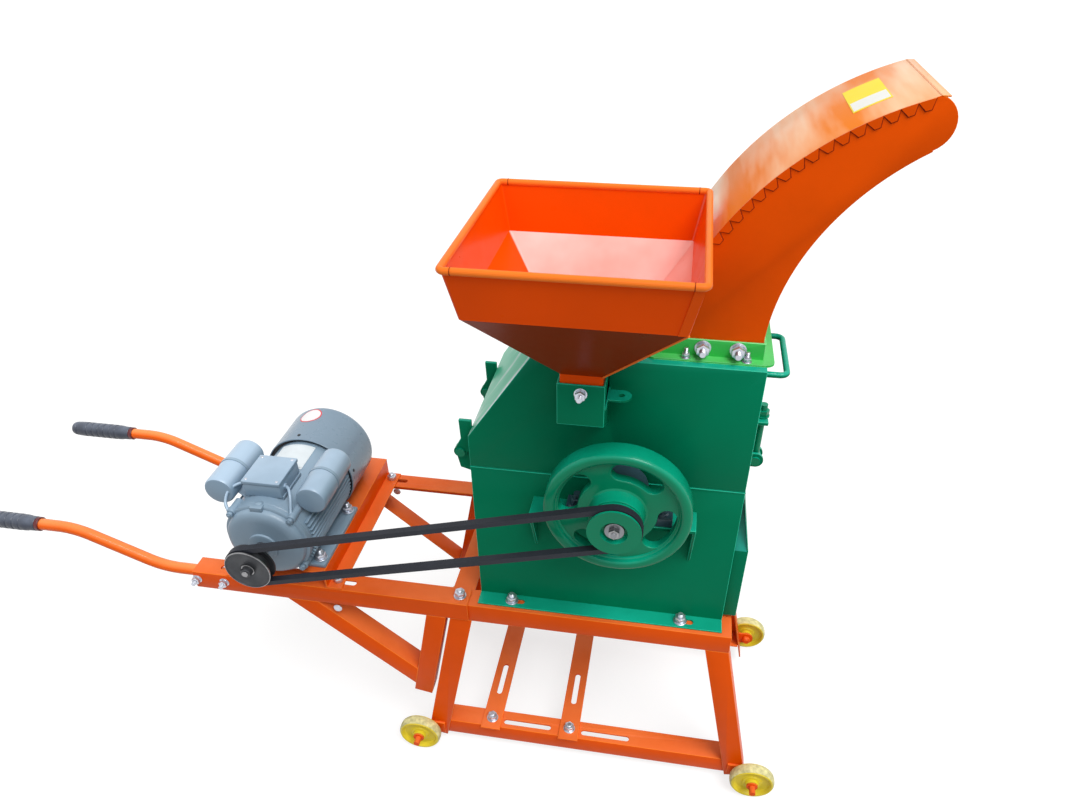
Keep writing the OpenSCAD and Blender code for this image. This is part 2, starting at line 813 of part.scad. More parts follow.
module drive_belt() {
    color("dimgray") at_frame() front_outline(belt_y - belt_w / 2, belt_w) difference() {
        belt_outline(pulley_d / 2 + belt_out);
        belt_outline(belt_in_r);
    }
}

// Housing

outlet_low = stand_h + 14;
outlet_top = split_z - 14;
outlet_edge = 20;
shaft_hole_r = shaft_d / 2 + 7;

module throat_hole() {
    translate([throat_x - throat_w / 2, body_d - sheet - cut, throat_z]) cube([throat_w, sheet + 2 * cut, throat_h]);
}

module lower_housing() {
    floor_t = 3;
    floor_left = stand_h + 92;
    color(green) at_frame() {
        difference() {
            translate([-half_w, 0, stand_h]) cube([body_w, body_d, lower_h]);
            translate([-half_w + sheet, sheet, stand_h - cut])
                cube([body_w - 2 * sheet, body_d - 2 * sheet, lower_h + 2 * cut]);
            rod_y(shaft_x, shaft_z, -cut, body_d + 2 * cut, shaft_hole_r);
            throat_hole();
            translate([half_w - sheet - cut, outlet_edge, outlet_low])
                cube([sheet + 2 * cut, body_d - 2 * outlet_edge, outlet_top - outlet_low]);
        }
        difference() {
            front_outline(sheet - lap, body_d - 2 * sheet + 2 * lap)
                polygon([[-half_w + sheet - lap, floor_left], [half_w, outlet_low - floor_t],
                    [half_w, outlet_low], [-half_w + sheet - lap, floor_left + floor_t]]);
            translate([half_w - sheet + lap, -cut, stand_h]) cube([sheet, body_d + 2 * cut, outlet_low - stand_h]);
        }
        difference() {
            front_rear() translate([-half_w, -foot_flange, stand_h]) cube([body_w, foot_flange + lap, sheet]);
            front_rear() for (x = housing_bolt_x) translate([x + 8, housing_bolt_y, stand_h]) slot_x(30, slot_w, sheet);
        }
        hinge_lug_low();
        latch_lug_low();
    }
}

// Lower hinge lugs stand beside the hood's, on the same pin
module hinge_lug_low() {
    for (y = hinge_y) difference() {
        front_outline(y + lug_t + gap, lug_t) {
            translate([hinge_x, hinge_z]) circle(r = hinge_r);
            polygon([[hinge_x - hinge_r, hinge_z], [hinge_x - 4, split_z - 26], [-half_w + lap, split_z - 34],
                [-half_w + lap, split_z - 6], [hinge_x + hinge_r, hinge_z]]);
        }
        rod_y(hinge_x, hinge_z, y, 3 * lug_t, hinge_pin_r + fit);
    }
}

module latch_lug_low() {
    ear_t = 5;
    ear_r = 13;
    for (y = [latch_y - 8 - ear_t, latch_y + 8]) difference() {
        front_outline(y, ear_t) {
            translate([latch_x, latch_z]) circle(r = ear_r);
            translate([half_w - lap, latch_z - ear_r]) square([latch_x - half_w + lap, 2 * ear_r]);
        }
        rod_y(latch_x, latch_z, y - cut, ear_t + 2 * cut, hinge_pin_r + fit);
    }
}

module hinge_pins() {
    color(zinc) at_frame() {
        for (y = hinge_y) union() {
            rod_y(hinge_x, hinge_z, y - 3, 2 * lug_t + gap + 6, hinge_pin_r);
            rod_y(hinge_x, hinge_z, y - 3, 3 - gap, hinge_pin_r + 3);
            rod_y(hinge_x, hinge_z, y + 2 * lug_t + 2 * gap, 3 - gap, hinge_pin_r + 3);
        }
        union() {
            rod_y(latch_x, latch_z, latch_y - 17, 34, hinge_pin_r);
            rod_y(latch_x, latch_z, latch_y - 17, 3.5, hinge_pin_r + 3);
            rod_y(latch_x, latch_z, latch_y + 13.5, 3.5, hinge_pin_r + 3);
        }
    }
}

screen_r = sweep_r + 8;
screen_n = 6;

// Six curved screen plates side by side under the hammers, and the ledge on their left
module screen() {
    t = 3;
    hole_r = 7;
    y0 = sheet + gap;
    w = disc_y - 8 - y0;
    lip_z = split_z - 8;
    left = half_w - sheet - gap;
    dip = asin((shaft_z - lip_z) / screen_r);
    step = (180 - 2 * dip) / screen_n;
    seam = asin(gap / 2 / screen_r);
    color(zinc) at_frame() {
        for (i = [0 : screen_n - 1]) difference() {
            a = 180 + dip + i * step;
            front_outline(y0, w) intersection() {
                difference() {
                    translate([shaft_x, shaft_z]) circle(r = screen_r + t, $fn = 96);
                    translate([shaft_x, shaft_z]) circle(r = screen_r, $fn = 96);
                }
                polygon(concat([[shaft_x, shaft_z]], arc(shaft_x, shaft_z, 2 * screen_r, a + seam, a + step - seam, 2)));
            }
            for (k = [0.25, 0.75], y = [24 : 24 : w - 8])
                translate([shaft_x, y0 + y, shaft_z]) rotate([0, 90 - a - k * step, 0])
                translate([0, 0, screen_r - 4]) cylinder(r = hole_r, h = t + 8);
        }
        translate([-left, y0, lip_z - t])
            cube([left + shaft_x - sqrt(pow(screen_r + t, 2) - pow(shaft_z - lip_z, 2)) - gap, w, t]);
    }
}

// Cover over the outlet in the right wall: slanted, then upright, open at the bottom
module outlet_hood() {
    out = 23;
    knee_drop = 128;
    knee = split_z - knee_drop;
    t = 2;
    y0 = outlet_edge - 12;
    w = body_d - 2 * y0;
    x0 = half_w + gap / 3;
    low = stand_h + 8;
    lean = 32;
    corner = 26;
    color(green) at_frame() {
        difference() {
            front_outline(y0, w)
                polygon([[x0, split_z - 13], [x0, split_z - 10], [half_w + out, knee], [half_w + out, low],
                    [half_w + out - t, low], [half_w + out - t, knee]]);
            translate([half_w - cut, latch_y - 14, latch_z - 15]) cube([2 * out, 28, 40]);
        }
        front_rear() front_outline(y0, t) polygon([[x0, knee], [half_w + out - t, knee], [half_w + out - t, low], [x0, low]]);
        front_rear() hull() {
            translate([x0, y0, knee - t]) cube([out - t, t, t]);
            translate([x0, y0 + lean, split_z - corner]) cube([2.7, t, 1]);
        }
    }
}

bracket_left = 140;
bracket_right = 120;
shelf_z = shaft_z - bearing_h;
shelf_t = 6;
shelf_d = flywheel_gap - 3;
base_half = 83;

module bearing_brackets() {
    gusset_t = 5;
    color(green) at_frame() {
        translate([shaft_x - bracket_left, -shelf_d, shelf_z - shelf_t]) cube([bracket_left + bracket_right, shelf_d, shelf_t]);
        for (x = [shaft_x - bracket_left, shaft_x + bracket_right - gusset_t]) side_outline(x, gusset_t)
            polygon([[0, shelf_z - shelf_t], [-shelf_d, shelf_z - shelf_t], [0, shelf_z - 106]]);
        translate([shaft_x - base_half - 8, body_d, shelf_z - shelf_t]) cube([2 * base_half + 16, shelf_d, shelf_t]);
        for (x = [shaft_x - base_half - 8, shaft_x + base_half + 8 - gusset_t]) side_outline(x, gusset_t)
            polygon([[body_d, shelf_z], [body_d + shelf_d, shelf_z], [body_d, split_z - 4]]);
    }
}

// Pillow block bearings with their hold down bolts
module shaft_bearings() {
    ring_r = 42;
    foot_h = 15;
    bolt_x = 66;
    color("cadetblue") at_frame() for (y = bearing_y) difference() {
        union() {
            translate([shaft_x - base_half, y, shelf_z]) cube([2 * base_half, bearing_w, foot_h]);
            rod_y(shaft_x, shaft_z, y + 2, bearing_w - 4, ring_r);
            translate([shaft_x - ring_r, y + 4, shelf_z]) cube([2 * ring_r, bearing_w - 8, 28]);
            for (x = [-bolt_x, bolt_x]) translate([shaft_x + x, y + bearing_w / 2, shelf_z + foot_h]) {
                cylinder(d = 26, h = 2.5);
                cylinder(d = 21, h = 12, $fn = 6);
                cylinder(d = 12, h = 20);
            }
        }
        rod_y(shaft_x, shaft_z, y - cut, bearing_w + 2 * cut, shaft_d / 2 + run);
    }
}

module feed_trough() {
    half = throat_w / 2;
    half_m = mouth_w / 2;
    t = trough_t;
    y0 = body_d;
    y1 = body_d + trough_lid;
    y2 = body_d + trough_l;
    wall_h = throat_h + 4;
    lip = 11;
    apron = 14;
    color(orange) at_frame() translate([throat_x, 0, throat_z - t]) {
        linear_extrude(t) polygon([[-half - t, y0], [half + t, y0], [half + t, y1], [half_m + t, y2],
            [-half_m - t, y2], [-half - t, y1]]);
        for (s = [-1, 1]) linear_extrude(wall_h)
            polygon([[s * half, y0], [s * (half + t), y0], [s * (half + t), y1], [s * (half_m + t), y2],
                [s * half_m, y2], [s * half, y1]]);
        translate([-half - t, y0, t + throat_h]) cube([throat_w + 2 * t, trough_lid, t]);
        for (s = [-1, 1]) translate([s * (half + t + lip / 2) - lip / 2, y0, 0]) cube([lip, t, wall_h]);
        translate([-half - t, y0, -apron]) cube([throat_w + 2 * t, t, apron]);
    }
}

// Fixed knife at the throat's edge, which the turning knives pass
module shear_bar() {
    h = 16;
    color(zinc) at_frame() translate([throat_x - throat_w / 2 - 12, body_d - sheet - 6, throat_z - h])
        cube([throat_w + 24, 6, h]);
}

// Rotor

module main_shaft() {
    y0 = -flywheel_gap + 1;
    y1 = bearing_y[1] + bearing_w;
    color(zinc) at_frame() union() {
        rod_y(shaft_x, shaft_z, y0, y1 - y0, shaft_d / 2);
        rod_y(shaft_x, shaft_z, y1 - cut, tail_l + cut, tail_r);
        rod_y(shaft_x, shaft_z, pulley_y + 6, pulley_reach - flywheel_gap - 4, nose_r);
        rod_y(shaft_x, shaft_z, pulley_y - 2, 12, 7);
        rod_y(shaft_x, shaft_z, pulley_y + 4, 3 - gap, 16);
        translate([shaft_x, pulley_y - 5, shaft_z]) rotate([-90, 0, 0]) cylinder(r = 11, h = 9, $fn = 6);
    }
}

rim_w = 16;
window_in = 60;
window_out = flywheel_d / 2 - rim_w - 6;
window_half = 20;
arc_ease = 0.5;

// Curved window in the flywheel's web, about an angle
module window(a) {
    mid = (window_in + window_out) / 2;
    r = (window_out - window_in) / 2;
    intersection() {
        difference() {
            circle(r = window_out);
            circle(r = window_in);
        }
        polygon(concat([[0, 0]], arc(0, 0, flywheel_d, a - window_half, a + window_half, 2)));
    }
    for (s = [-1, 1]) translate([mid * cos(a + s * window_half), mid * sin(a + s * window_half)])
        circle(r = r - arc_ease);
}

module flywheel() {
    r = flywheel_d / 2;
    rim = rim_w;
    web = 10;
    hub_r = 41;
    w = flywheel_w;
    hub_front = pulley_reach - pulley_w - 1.5 - flywheel_gap;
    y1 = -flywheel_gap;
    color(green) at_frame() difference() {
        turned_y(shaft_x, shaft_z, y1)
            polygon([[nose_r + fit, -hub_front], [hub_r - 2, -hub_front], [hub_r, -hub_front + 2], [hub_r, -w + web],
                [r - rim - 4, -w + web], [r - rim, -w], [r - 2, -w], [r, -w + 2], [r, -2], [r - 2, 0],
                [r - rim, 0], [r - rim - 3, -web], [hub_r, -web], [hub_r, 0], [nose_r + fit, 0]]);
        translate([shaft_x, y1 + cut, shaft_z]) rotate([90, 0, 0]) linear_extrude(w + 2 * cut)
            for (k = [0 : 3]) window(68 + 90 * k);
    }
}

module knife_disc() {
    color("slategray") at_frame() difference() {
        rod_y(shaft_x, shaft_z, disc_y, disc_t, sweep_r);
        rod_y(shaft_x, shaft_z, disc_y - cut, disc_t + 2 * cut, bore_r);
        for (s = [-1, 1]) rod_y(shaft_x, shaft_z + s * pin_ring, disc_y - cut, disc_t + 2 * cut, pin_r + fit);
    }
}

module knives() {
    knife_in = 52;
    knife_w = 40;
    color(zinc) at_frame() for (i = [0 : 2]) translate([shaft_x, disc_y + disc_t, shaft_z]) rotate([0, i * 120, 0])
        translate([knife_in, 0, -knife_w / 2]) cube([sweep_r - knife_in - 2, knife_t, knife_w]);
}

module hammer_disc() {
    color("slategray") at_frame() difference() {
        rod_y(shaft_x, shaft_z, hammer_disc_y, hammer_disc_t, pin_ring + 22);
        rod_y(shaft_x, shaft_z, hammer_disc_y - cut, hammer_disc_t + 2 * cut, bore_r);
        for (s = [-1, 1]) rod_y(shaft_x, shaft_z + s * pin_ring, hammer_disc_y - cut, hammer_disc_t + 2 * cut, pin_r + fit);
    }
}

module hammer_pins() {
    color(zinc) at_frame() for (s = [-1, 1]) union() {
        rod_y(shaft_x, shaft_z + s * pin_ring, hammer_disc_y - 6, disc_y + disc_t - hammer_disc_y + 6, pin_r);
        rod_y(shaft_x, shaft_z + s * pin_ring, hammer_disc_y - 6, 6 - gap, pin_r + 4);
    }
}

// A row of hammers on one pin, hanging straight down
module hammer_row(pin_z) {
    t = 6;
    half = 19;
    pitch = (disc_y - hammer_disc_y - hammer_disc_t) / hammer_n;
    for (i = [0 : hammer_n - 1]) difference() {
        front_outline(hammer_disc_y + hammer_disc_t + pitch * (i + 0.5) - t / 2, t) {
            translate([shaft_x, pin_z]) circle(r = half);
            translate([shaft_x - half, pin_z - hammer_reach]) square([2 * half, hammer_reach]);
        }
        rod_y(shaft_x, pin_z, hammer_disc_y, disc_y, pin_r + run);
    }
}

module hammers_low() { color("gray") at_frame() hammer_row(shaft_z - pin_ring); }
module hammers_high() { color("gray") at_frame() hammer_row(shaft_z + pin_ring); }

// Hood and what it carries

hood_base = split_z + split_gap;

module hood_outline(inset) {
    k = inset * tan((90 - atan2(hood_h - fold_h, slant_w)) / 2);
    polygon([[-half_w + inset, hood_base - (inset > 0 ? cut : 0)], [-half_w + inset, split_z + fold_h - k],
        [-half_w + slant_w + inset * 0.4, hood_z - inset], [half_w - inset, hood_z - inset],
        [half_w - inset, hood_base - (inset > 0 ? cut : 0)]]);
}

grain_hole_z = hood_z - 106;
grain_hole_h = 50;

module hood() {
    color(green) at_frame() {
        difference() {
            front_outline(0, body_d) hood_outline(0);
            front_outline(sheet, body_d - 2 * sheet) hood_outline(sheet);
            rod_y(shaft_x, shaft_z, -cut, body_d + 2 * cut, shaft_hole_r);
            translate([chute_left + 6, chute_y + 4, hood_z - sheet - cut])
                cube([chute_right - chute_left - 12, chute_w - 8, sheet + 2 * cut]);
            translate([grain_x - grain_w / 2 + sheet, -cut, grain_hole_z]) cube([grain_w - 2 * sheet, sheet + 2 * cut, grain_hole_h]);
        }
        for (y = hinge_y) difference() {
            front_outline(y, lug_t) {
                translate([hinge_x, hinge_z]) circle(r = hinge_r);
                polygon([[hinge_x - hinge_r, hinge_z + 2], [hinge_x + 2, hinge_z + 26], [hinge_x + 1, hinge_z + 62],
                    [-half_w + lap, hinge_z + 62], [-half_w + lap, split_z + 14], [hinge_x + hinge_r, hinge_z]]);
            }
            rod_y(hinge_x, hinge_z, y - cut, lug_t + 2 * cut, hinge_pin_r + run);
        }
        difference() {
            translate([half_w - lap, latch_y - 20, latch_ear_z - lug_t]) cube([latch_x + 9 - half_w + lap, 40, lug_t]);
            translate([latch_x, latch_y, latch_ear_z - lug_t - cut]) cylinder(r = latch_rod_r + 0.8, h = lug_t + 2 * cut);
            translate([latch_x, latch_y - latch_rod_r - 0.8, latch_ear_z - lug_t - cut])
                cube([20, 2 * latch_rod_r + 1.6, lug_t + 2 * cut]);
        }
    }
}

module latch_bolt() {
    grip_h = latch_ear_z - latch_z;
    color(zinc) at_frame() difference() {
        union() {
            rod_y(latch_x, latch_z, latch_y - 7, 14, 10);
            translate([latch_x, latch_y, latch_z]) cylinder(r = latch_rod_r, h = grip_h + 22);
            translate([latch_x, latch_y, latch_ear_z + gap]) cylinder(r = 11, h = 2);
            translate([latch_x, latch_y, latch_ear_z + gap + 2]) cylinder(r = 10, h = 10, $fn = 6);
        }
        rod_y(latch_x, latch_z, latch_y - 8, 16, hinge_pin_r + run);
    }
}

collar_left = chute_left - gap - 3;
collar_right = chute_right + gap + 3;
collar_front = chute_y - gap - 3;
collar_bolts = [chute_left + 63, chute_left + 111];
collar_screws = [collar_left + 44, collar_right - 23];

module collar_plate() {
    r = 12;
    x0 = chute_left - 14;
    x1 = half_w + 10;
    y0 = chute_y - 18;
    y1 = body_d - y0;
    difference() {
        union() {
            translate([x0 + r, y0]) square([x1 - x0 - 2 * r, y1 - y0]);
            translate([x0, y0 + r]) square([x1 - x0, y1 - y0 - 2 * r]);
            for (x = [x0 + r, x1 - r], y = [y0 + r, y1 - r]) translate([x, y]) circle(r = r);
        }
        translate([chute_left + 6, chute_y + 4]) square([chute_right - chute_left - 12, chute_w - 8]);
    }
}

module chute_collar() {
    ear_y = body_d - collar_front - 3;
    color("limegreen") at_frame() {
        translate([0, 0, hood_z]) linear_extrude(iron_t) collar_plate();
        difference() {
            translate([collar_left, collar_front, hood_z + iron_t])
                cube([collar_right - collar_left, body_d - 2 * collar_front, collar_h]);
            translate([collar_left + 3, collar_front + 3, hood_z])
                cube([collar_right - collar_left - 6, body_d - 2 * collar_front - 6, 2 * collar_h]);
            front_rear() for (x = collar_bolts) rod_y(x, hood_z + iron_t + collar_h / 2, collar_front - cut, 3 + 2 * cut, 5 + gap);
        }
        translate([collar_right, ear_y, hood_z + iron_t]) cube([12, 3, 30]);
    }
}

// Outlines of the chute's side plates and of the hollow between its covers
module chute_plate() {
    polygon(concat([[outer_cx - sqrt(pow(chute_outer_r, 2) - pow(chute_base_z - outer_cz, 2)), chute_base_z]],
        arc(outer_cx, outer_cz, chute_outer_r, outer_start, outer_end, 24),
        arc(nose_x, nose_z, nose_out_r, atan2(tip_out[1] - nose_z, tip_out[0] - nose_x),
            atan2(tip_in[1] - nose_z, tip_in[0] - nose_x), 14),
        arc(inner_cx, inner_cz, chute_inner_r, inner_end, 180, 24),
        [[chute_right, chute_base_z]]));
}

module chute_hollow() {
    polygon(concat([[outer_cx - sqrt(pow(chute_outer_r - chute_t, 2) - pow(chute_base_z - cut - outer_cz, 2)), chute_base_z - cut]],
        arc(outer_cx, outer_cz, chute_outer_r - chute_t, outer_start, outer_end, 24),
        [tip_out + [0, 20], tip_out + [60, 20], tip_in + [60, -20], tip_in + [2, -1]],
        arc(inner_cx, inner_cz, chute_inner_r + chute_t, inner_end, 180, 24),
        [[chute_right - chute_t, chute_base_z - cut]]));
}

module discharge_chute() {
    color(orange) at_frame() difference() {
        front_outline(chute_y, chute_w) chute_plate();
        front_outline(chute_y + chute_t, chute_w - 2 * chute_t) chute_hollow();
        front_rear() for (x = collar_bolts) rod_y(x, hood_z + iron_t + collar_h / 2, chute_y - cut, chute_t + 2 * cut, 5 + gap);
    }
}

// Square tapering block between two heights, for the hopper's walls
module taper(x0, y0, w0, d0, z0, x1, y1, w1, d1, z1) {
    hull() {
        translate([x0 - w0 / 2, y0 - d0 / 2, z0]) cube([w0, d0, 0.01]);
        translate([x1 - w1 / 2, y1 - d1 / 2, z1]) cube([w1, d1, 0.01]);
    }
}

module hopper_shape(t) {
    w = hopper_w - 2 * rim_r - 2 * t;
    d = hopper_d - 2 * rim_r - 2 * t;
    w1 = w - 2 * hopper_taper;
    d1 = d - 2 * hopper_taper;
    taper(hopper_x, hopper_y, w1, d1, hopper_fold, hopper_x, hopper_y, w, d, hopper_top + (t > 0 ? 0.02 : 0));
    taper(grain_x, neck_y, neck_w - 2 * t, neck_d - 2 * t, pyramid_z, hopper_x, hopper_y, w1, d1, hopper_fold);
}

module hopper() {
    neck_low = gate_z + gate_t + 12;
    t = 2;
    x0 = hopper_x - hopper_w / 2 + rim_r;
    x1 = hopper_x + hopper_w / 2 - rim_r;
    y0 = hopper_y - hopper_d / 2 + rim_r;
    y1 = hopper_y + hopper_d / 2 - rim_r;
    color(orange) at_frame() {
        difference() {
            union() {
                hopper_shape(0);
                translate([grain_x - neck_w / 2, neck_y - neck_d / 2, neck_low]) cube([neck_w, neck_d, pyramid_z - neck_low]);
            }
            hopper_shape(t);
            translate([grain_x - neck_w / 2 + t, neck_y - neck_d / 2 + t, neck_low - cut])
                cube([neck_w - 2 * t, neck_d - 2 * t, pyramid_z - neck_low + cut + 0.5]);
        }
        difference() {
            union() {
                for (y = [y0, y1]) translate([x0, y, hopper_top]) rotate([0, 90, 0]) cylinder(r = rim_r, h = x1 - x0);
                for (x = [x0, x1]) rod_y(x, hopper_top, y0, y1 - y0, rim_r);
                for (x = [x0, x1], y = [y0, y1]) translate([x, y, hopper_top]) sphere(r = rim_r);
            }
            translate([x0 + t, y0 + t, hopper_top - 2 * rim_r]) cube([x1 - x0 - 2 * t, y1 - y0 - 2 * t, 2 * rim_r - 1]);
        }
    }
}

grain_low = grain_top - grain_h;
grain_floor = grain_low - 36;

module grain_box() {
    x0 = grain_x - grain_w / 2;
    slot_h = gate_t + 2 * gap;
    runner = 3;
    color(green) at_frame() difference() {
        union() {
            difference() {
                side_outline(x0, grain_w) polygon([[0, grain_top], [-grain_d, grain_top], [-grain_d, grain_low], [0, grain_floor]]);
                side_outline(x0 + sheet, grain_w - 2 * sheet)
                    polygon([[cut, grain_top + cut], [-grain_d + sheet, grain_top + cut], [-grain_d + sheet, grain_low + 1],
                        [cut, grain_floor + sheet + 2]]);
            }
            for (y = [-grain_d + sheet - 0.01, -runner]) translate([x0 + sheet - 0.01, y, gate_z - gap - runner])
                cube([grain_w - 2 * sheet + 0.02, runner, runner]);
        }
        translate([x0 + grain_w - sheet - cut, -grain_d + sheet, gate_z - gap])
            cube([sheet + 2 * cut, grain_d - sheet - gap, slot_h]);
    }
}

gate_tab_x = 21;
gate_tab_y = -21;

module slide_gate() {
    plate_d = grain_d - sheet - 4 * gap;
    x0 = grain_x - grain_w / 2 + sheet + gap;
    x1 = grain_x + grain_w / 2 + 2;
    color(green) at_frame() difference() {
        union() {
            translate([x0, -2 * gap - plate_d, gate_z]) cube([x1 - x0, plate_d, gate_t]);
            translate([x1, gate_tab_y - gate_tab_w / 2, gate_z]) cube([gate_tab_x - x1, gate_tab_w, gate_t]);
            translate([gate_tab_x, gate_tab_y, gate_z]) cylinder(d = gate_tab_w, h = gate_t);
        }
        translate([gate_tab_x, gate_tab_y, gate_z - cut]) cylinder(r = 4.5, h = gate_t + 2 * cut);
    }
}

module lift_handle() {
    r = 5;
    out = 30;
    z = hood_z - 16;
    ys = [22, 136];
    color(green) at_frame() union() {
        for (y = ys) {
            translate([half_w + gap / 3, y, z]) rotate([0, 90, 0]) cylinder(r = r, h = out);
            translate([half_w + out + gap / 3, y, z]) sphere(r = r);
        }
        rod_y(half_w + out + gap / 3, z, ys[0], ys[1] - ys[0], r);
    }
}

// Bolts of the collar and of the hopper's neck
module hood_bolts() {
    big = 10;
    small = 6;
    neck = 5;
    color(zinc) at_frame() {
        front_rear() for (x = collar_bolts) translate([x, collar_front, hood_z + iron_t + collar_h / 2]) rotate([90, 0, 0])
            bolt_head(big, 3 + chute_t + gap);
        translate([grain_x, -grain_d, grain_top - 14]) rotate([90, 0, 0]) bolt_head(big - 2, 0);
        for (s = [-1, 1]) translate([grain_x + s * neck_w / 2, neck_y, (grain_top + pyramid_z) / 2]) rotate([0, s * 90, 0])
            bolt_head(neck, 0);
        for (x = collar_screws) translate([x, chute_y - 11, hood_z + iron_t]) bolt_head(small, 0);
    }
}

// Bolt seen from its nut's side, its shank through what it clamps
module bolt_head(d, through) {
    union() {
        cylinder(d = 2.2 * d, h = 2);
        translate([0, 0, 2]) cylinder(d = 1.8 * d, h = 0.8 * d, $fn = 6);
        translate([0, 0, -through]) cylinder(d = d, h = through + 2 + 1.6 * d);
    }
}

stand_top_frame();
leg_front_left();
leg_front_right();
leg_rear_left();
leg_rear_right();
lower_rails();
braces();
motor_rail_front();
motor_rail_rear();
motor_cross_rails();
strut_posts();
strut_diagonals();
handle_front();
handle_rear();
grips();
wheel_axles();
frame_bolts();
motor_casing();
motor_end_shield();
motor_fan_cover();
motor_terminal_box();
capacitor_left();
capacitor_right();
motor_stator();
drive_belt();
lower_housing();
screen();
outlet_hood();
bearing_brackets();
shaft_bearings();
feed_trough();
shear_bar();
hinge_pins();
wheel_front_left();
wheel_front_right();
wheel_rear_left();
wheel_rear_right();
main_shaft();
flywheel();
main_pulley();
knife_disc();
knives();
hammer_disc();
hammer_pins();
hammers_low();
hammers_high();
motor_rotor();
motor_fan();
motor_pulley();
hood();
chute_collar();
discharge_chute();
hopper();
grain_box();
lift_handle();
hood_bolts();
slide_gate();
latch_bolt();
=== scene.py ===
import math
import bmesh
import bpy
from mathutils import Matrix, Vector


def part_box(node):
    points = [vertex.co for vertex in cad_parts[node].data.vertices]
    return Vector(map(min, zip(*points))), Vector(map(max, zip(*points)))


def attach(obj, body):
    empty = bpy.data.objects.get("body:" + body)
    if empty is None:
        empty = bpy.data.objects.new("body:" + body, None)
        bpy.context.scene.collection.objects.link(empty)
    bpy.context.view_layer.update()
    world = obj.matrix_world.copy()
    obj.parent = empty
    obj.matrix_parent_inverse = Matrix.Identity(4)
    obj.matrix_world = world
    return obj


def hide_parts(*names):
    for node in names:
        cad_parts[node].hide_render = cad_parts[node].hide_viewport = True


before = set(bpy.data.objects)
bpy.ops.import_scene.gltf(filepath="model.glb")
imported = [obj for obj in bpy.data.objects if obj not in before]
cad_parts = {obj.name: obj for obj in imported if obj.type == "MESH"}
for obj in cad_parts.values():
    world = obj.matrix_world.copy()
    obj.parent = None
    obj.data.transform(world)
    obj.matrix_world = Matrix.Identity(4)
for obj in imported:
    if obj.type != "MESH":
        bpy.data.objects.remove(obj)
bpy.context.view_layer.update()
print("frame loaded:", len(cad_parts), "nodes")

# The drawing's zero is the middle of the housing's front plate, on the floor.
shaft = {"x": 27, "z": 717.5}
discLow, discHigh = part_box("knife_disc")
plateLow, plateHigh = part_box("hood")
zero = Vector((shaft["x"] - 500 * (discLow.x + discHigh.x), -1000 * plateLow.y, 0))

alongY, alongZ = (0, 1, 0), (0, 0, 1)


def at(x, y, z):
    return (Vector((x, y, z)) - zero) * 0.001


def mm(value):
    return value * 0.001


# Screen colour of 0 to 255 as the linear one that shaders take
def linear(red, green, blue):
    def one(v):
        v = v / 255
        return v / 12.92 if v <= 0.04045 else ((v + 0.055) / 1.055) ** 2.4
    return (one(red), one(green), one(blue), 1.0)


# Shader node with plain values, and links that feed it, by the names of its inputs
def addNode(tree, kind, values=None, feeds=None, **props):
    made = tree.nodes.new(kind)
    for key, value in props.items():
        setattr(made, key, value)
    for key, value in (values or {}).items():
        made.inputs[key].default_value = value
    for key, socket in (feeds or {}).items():
        tree.links.new(socket, made.inputs[key])
    return made


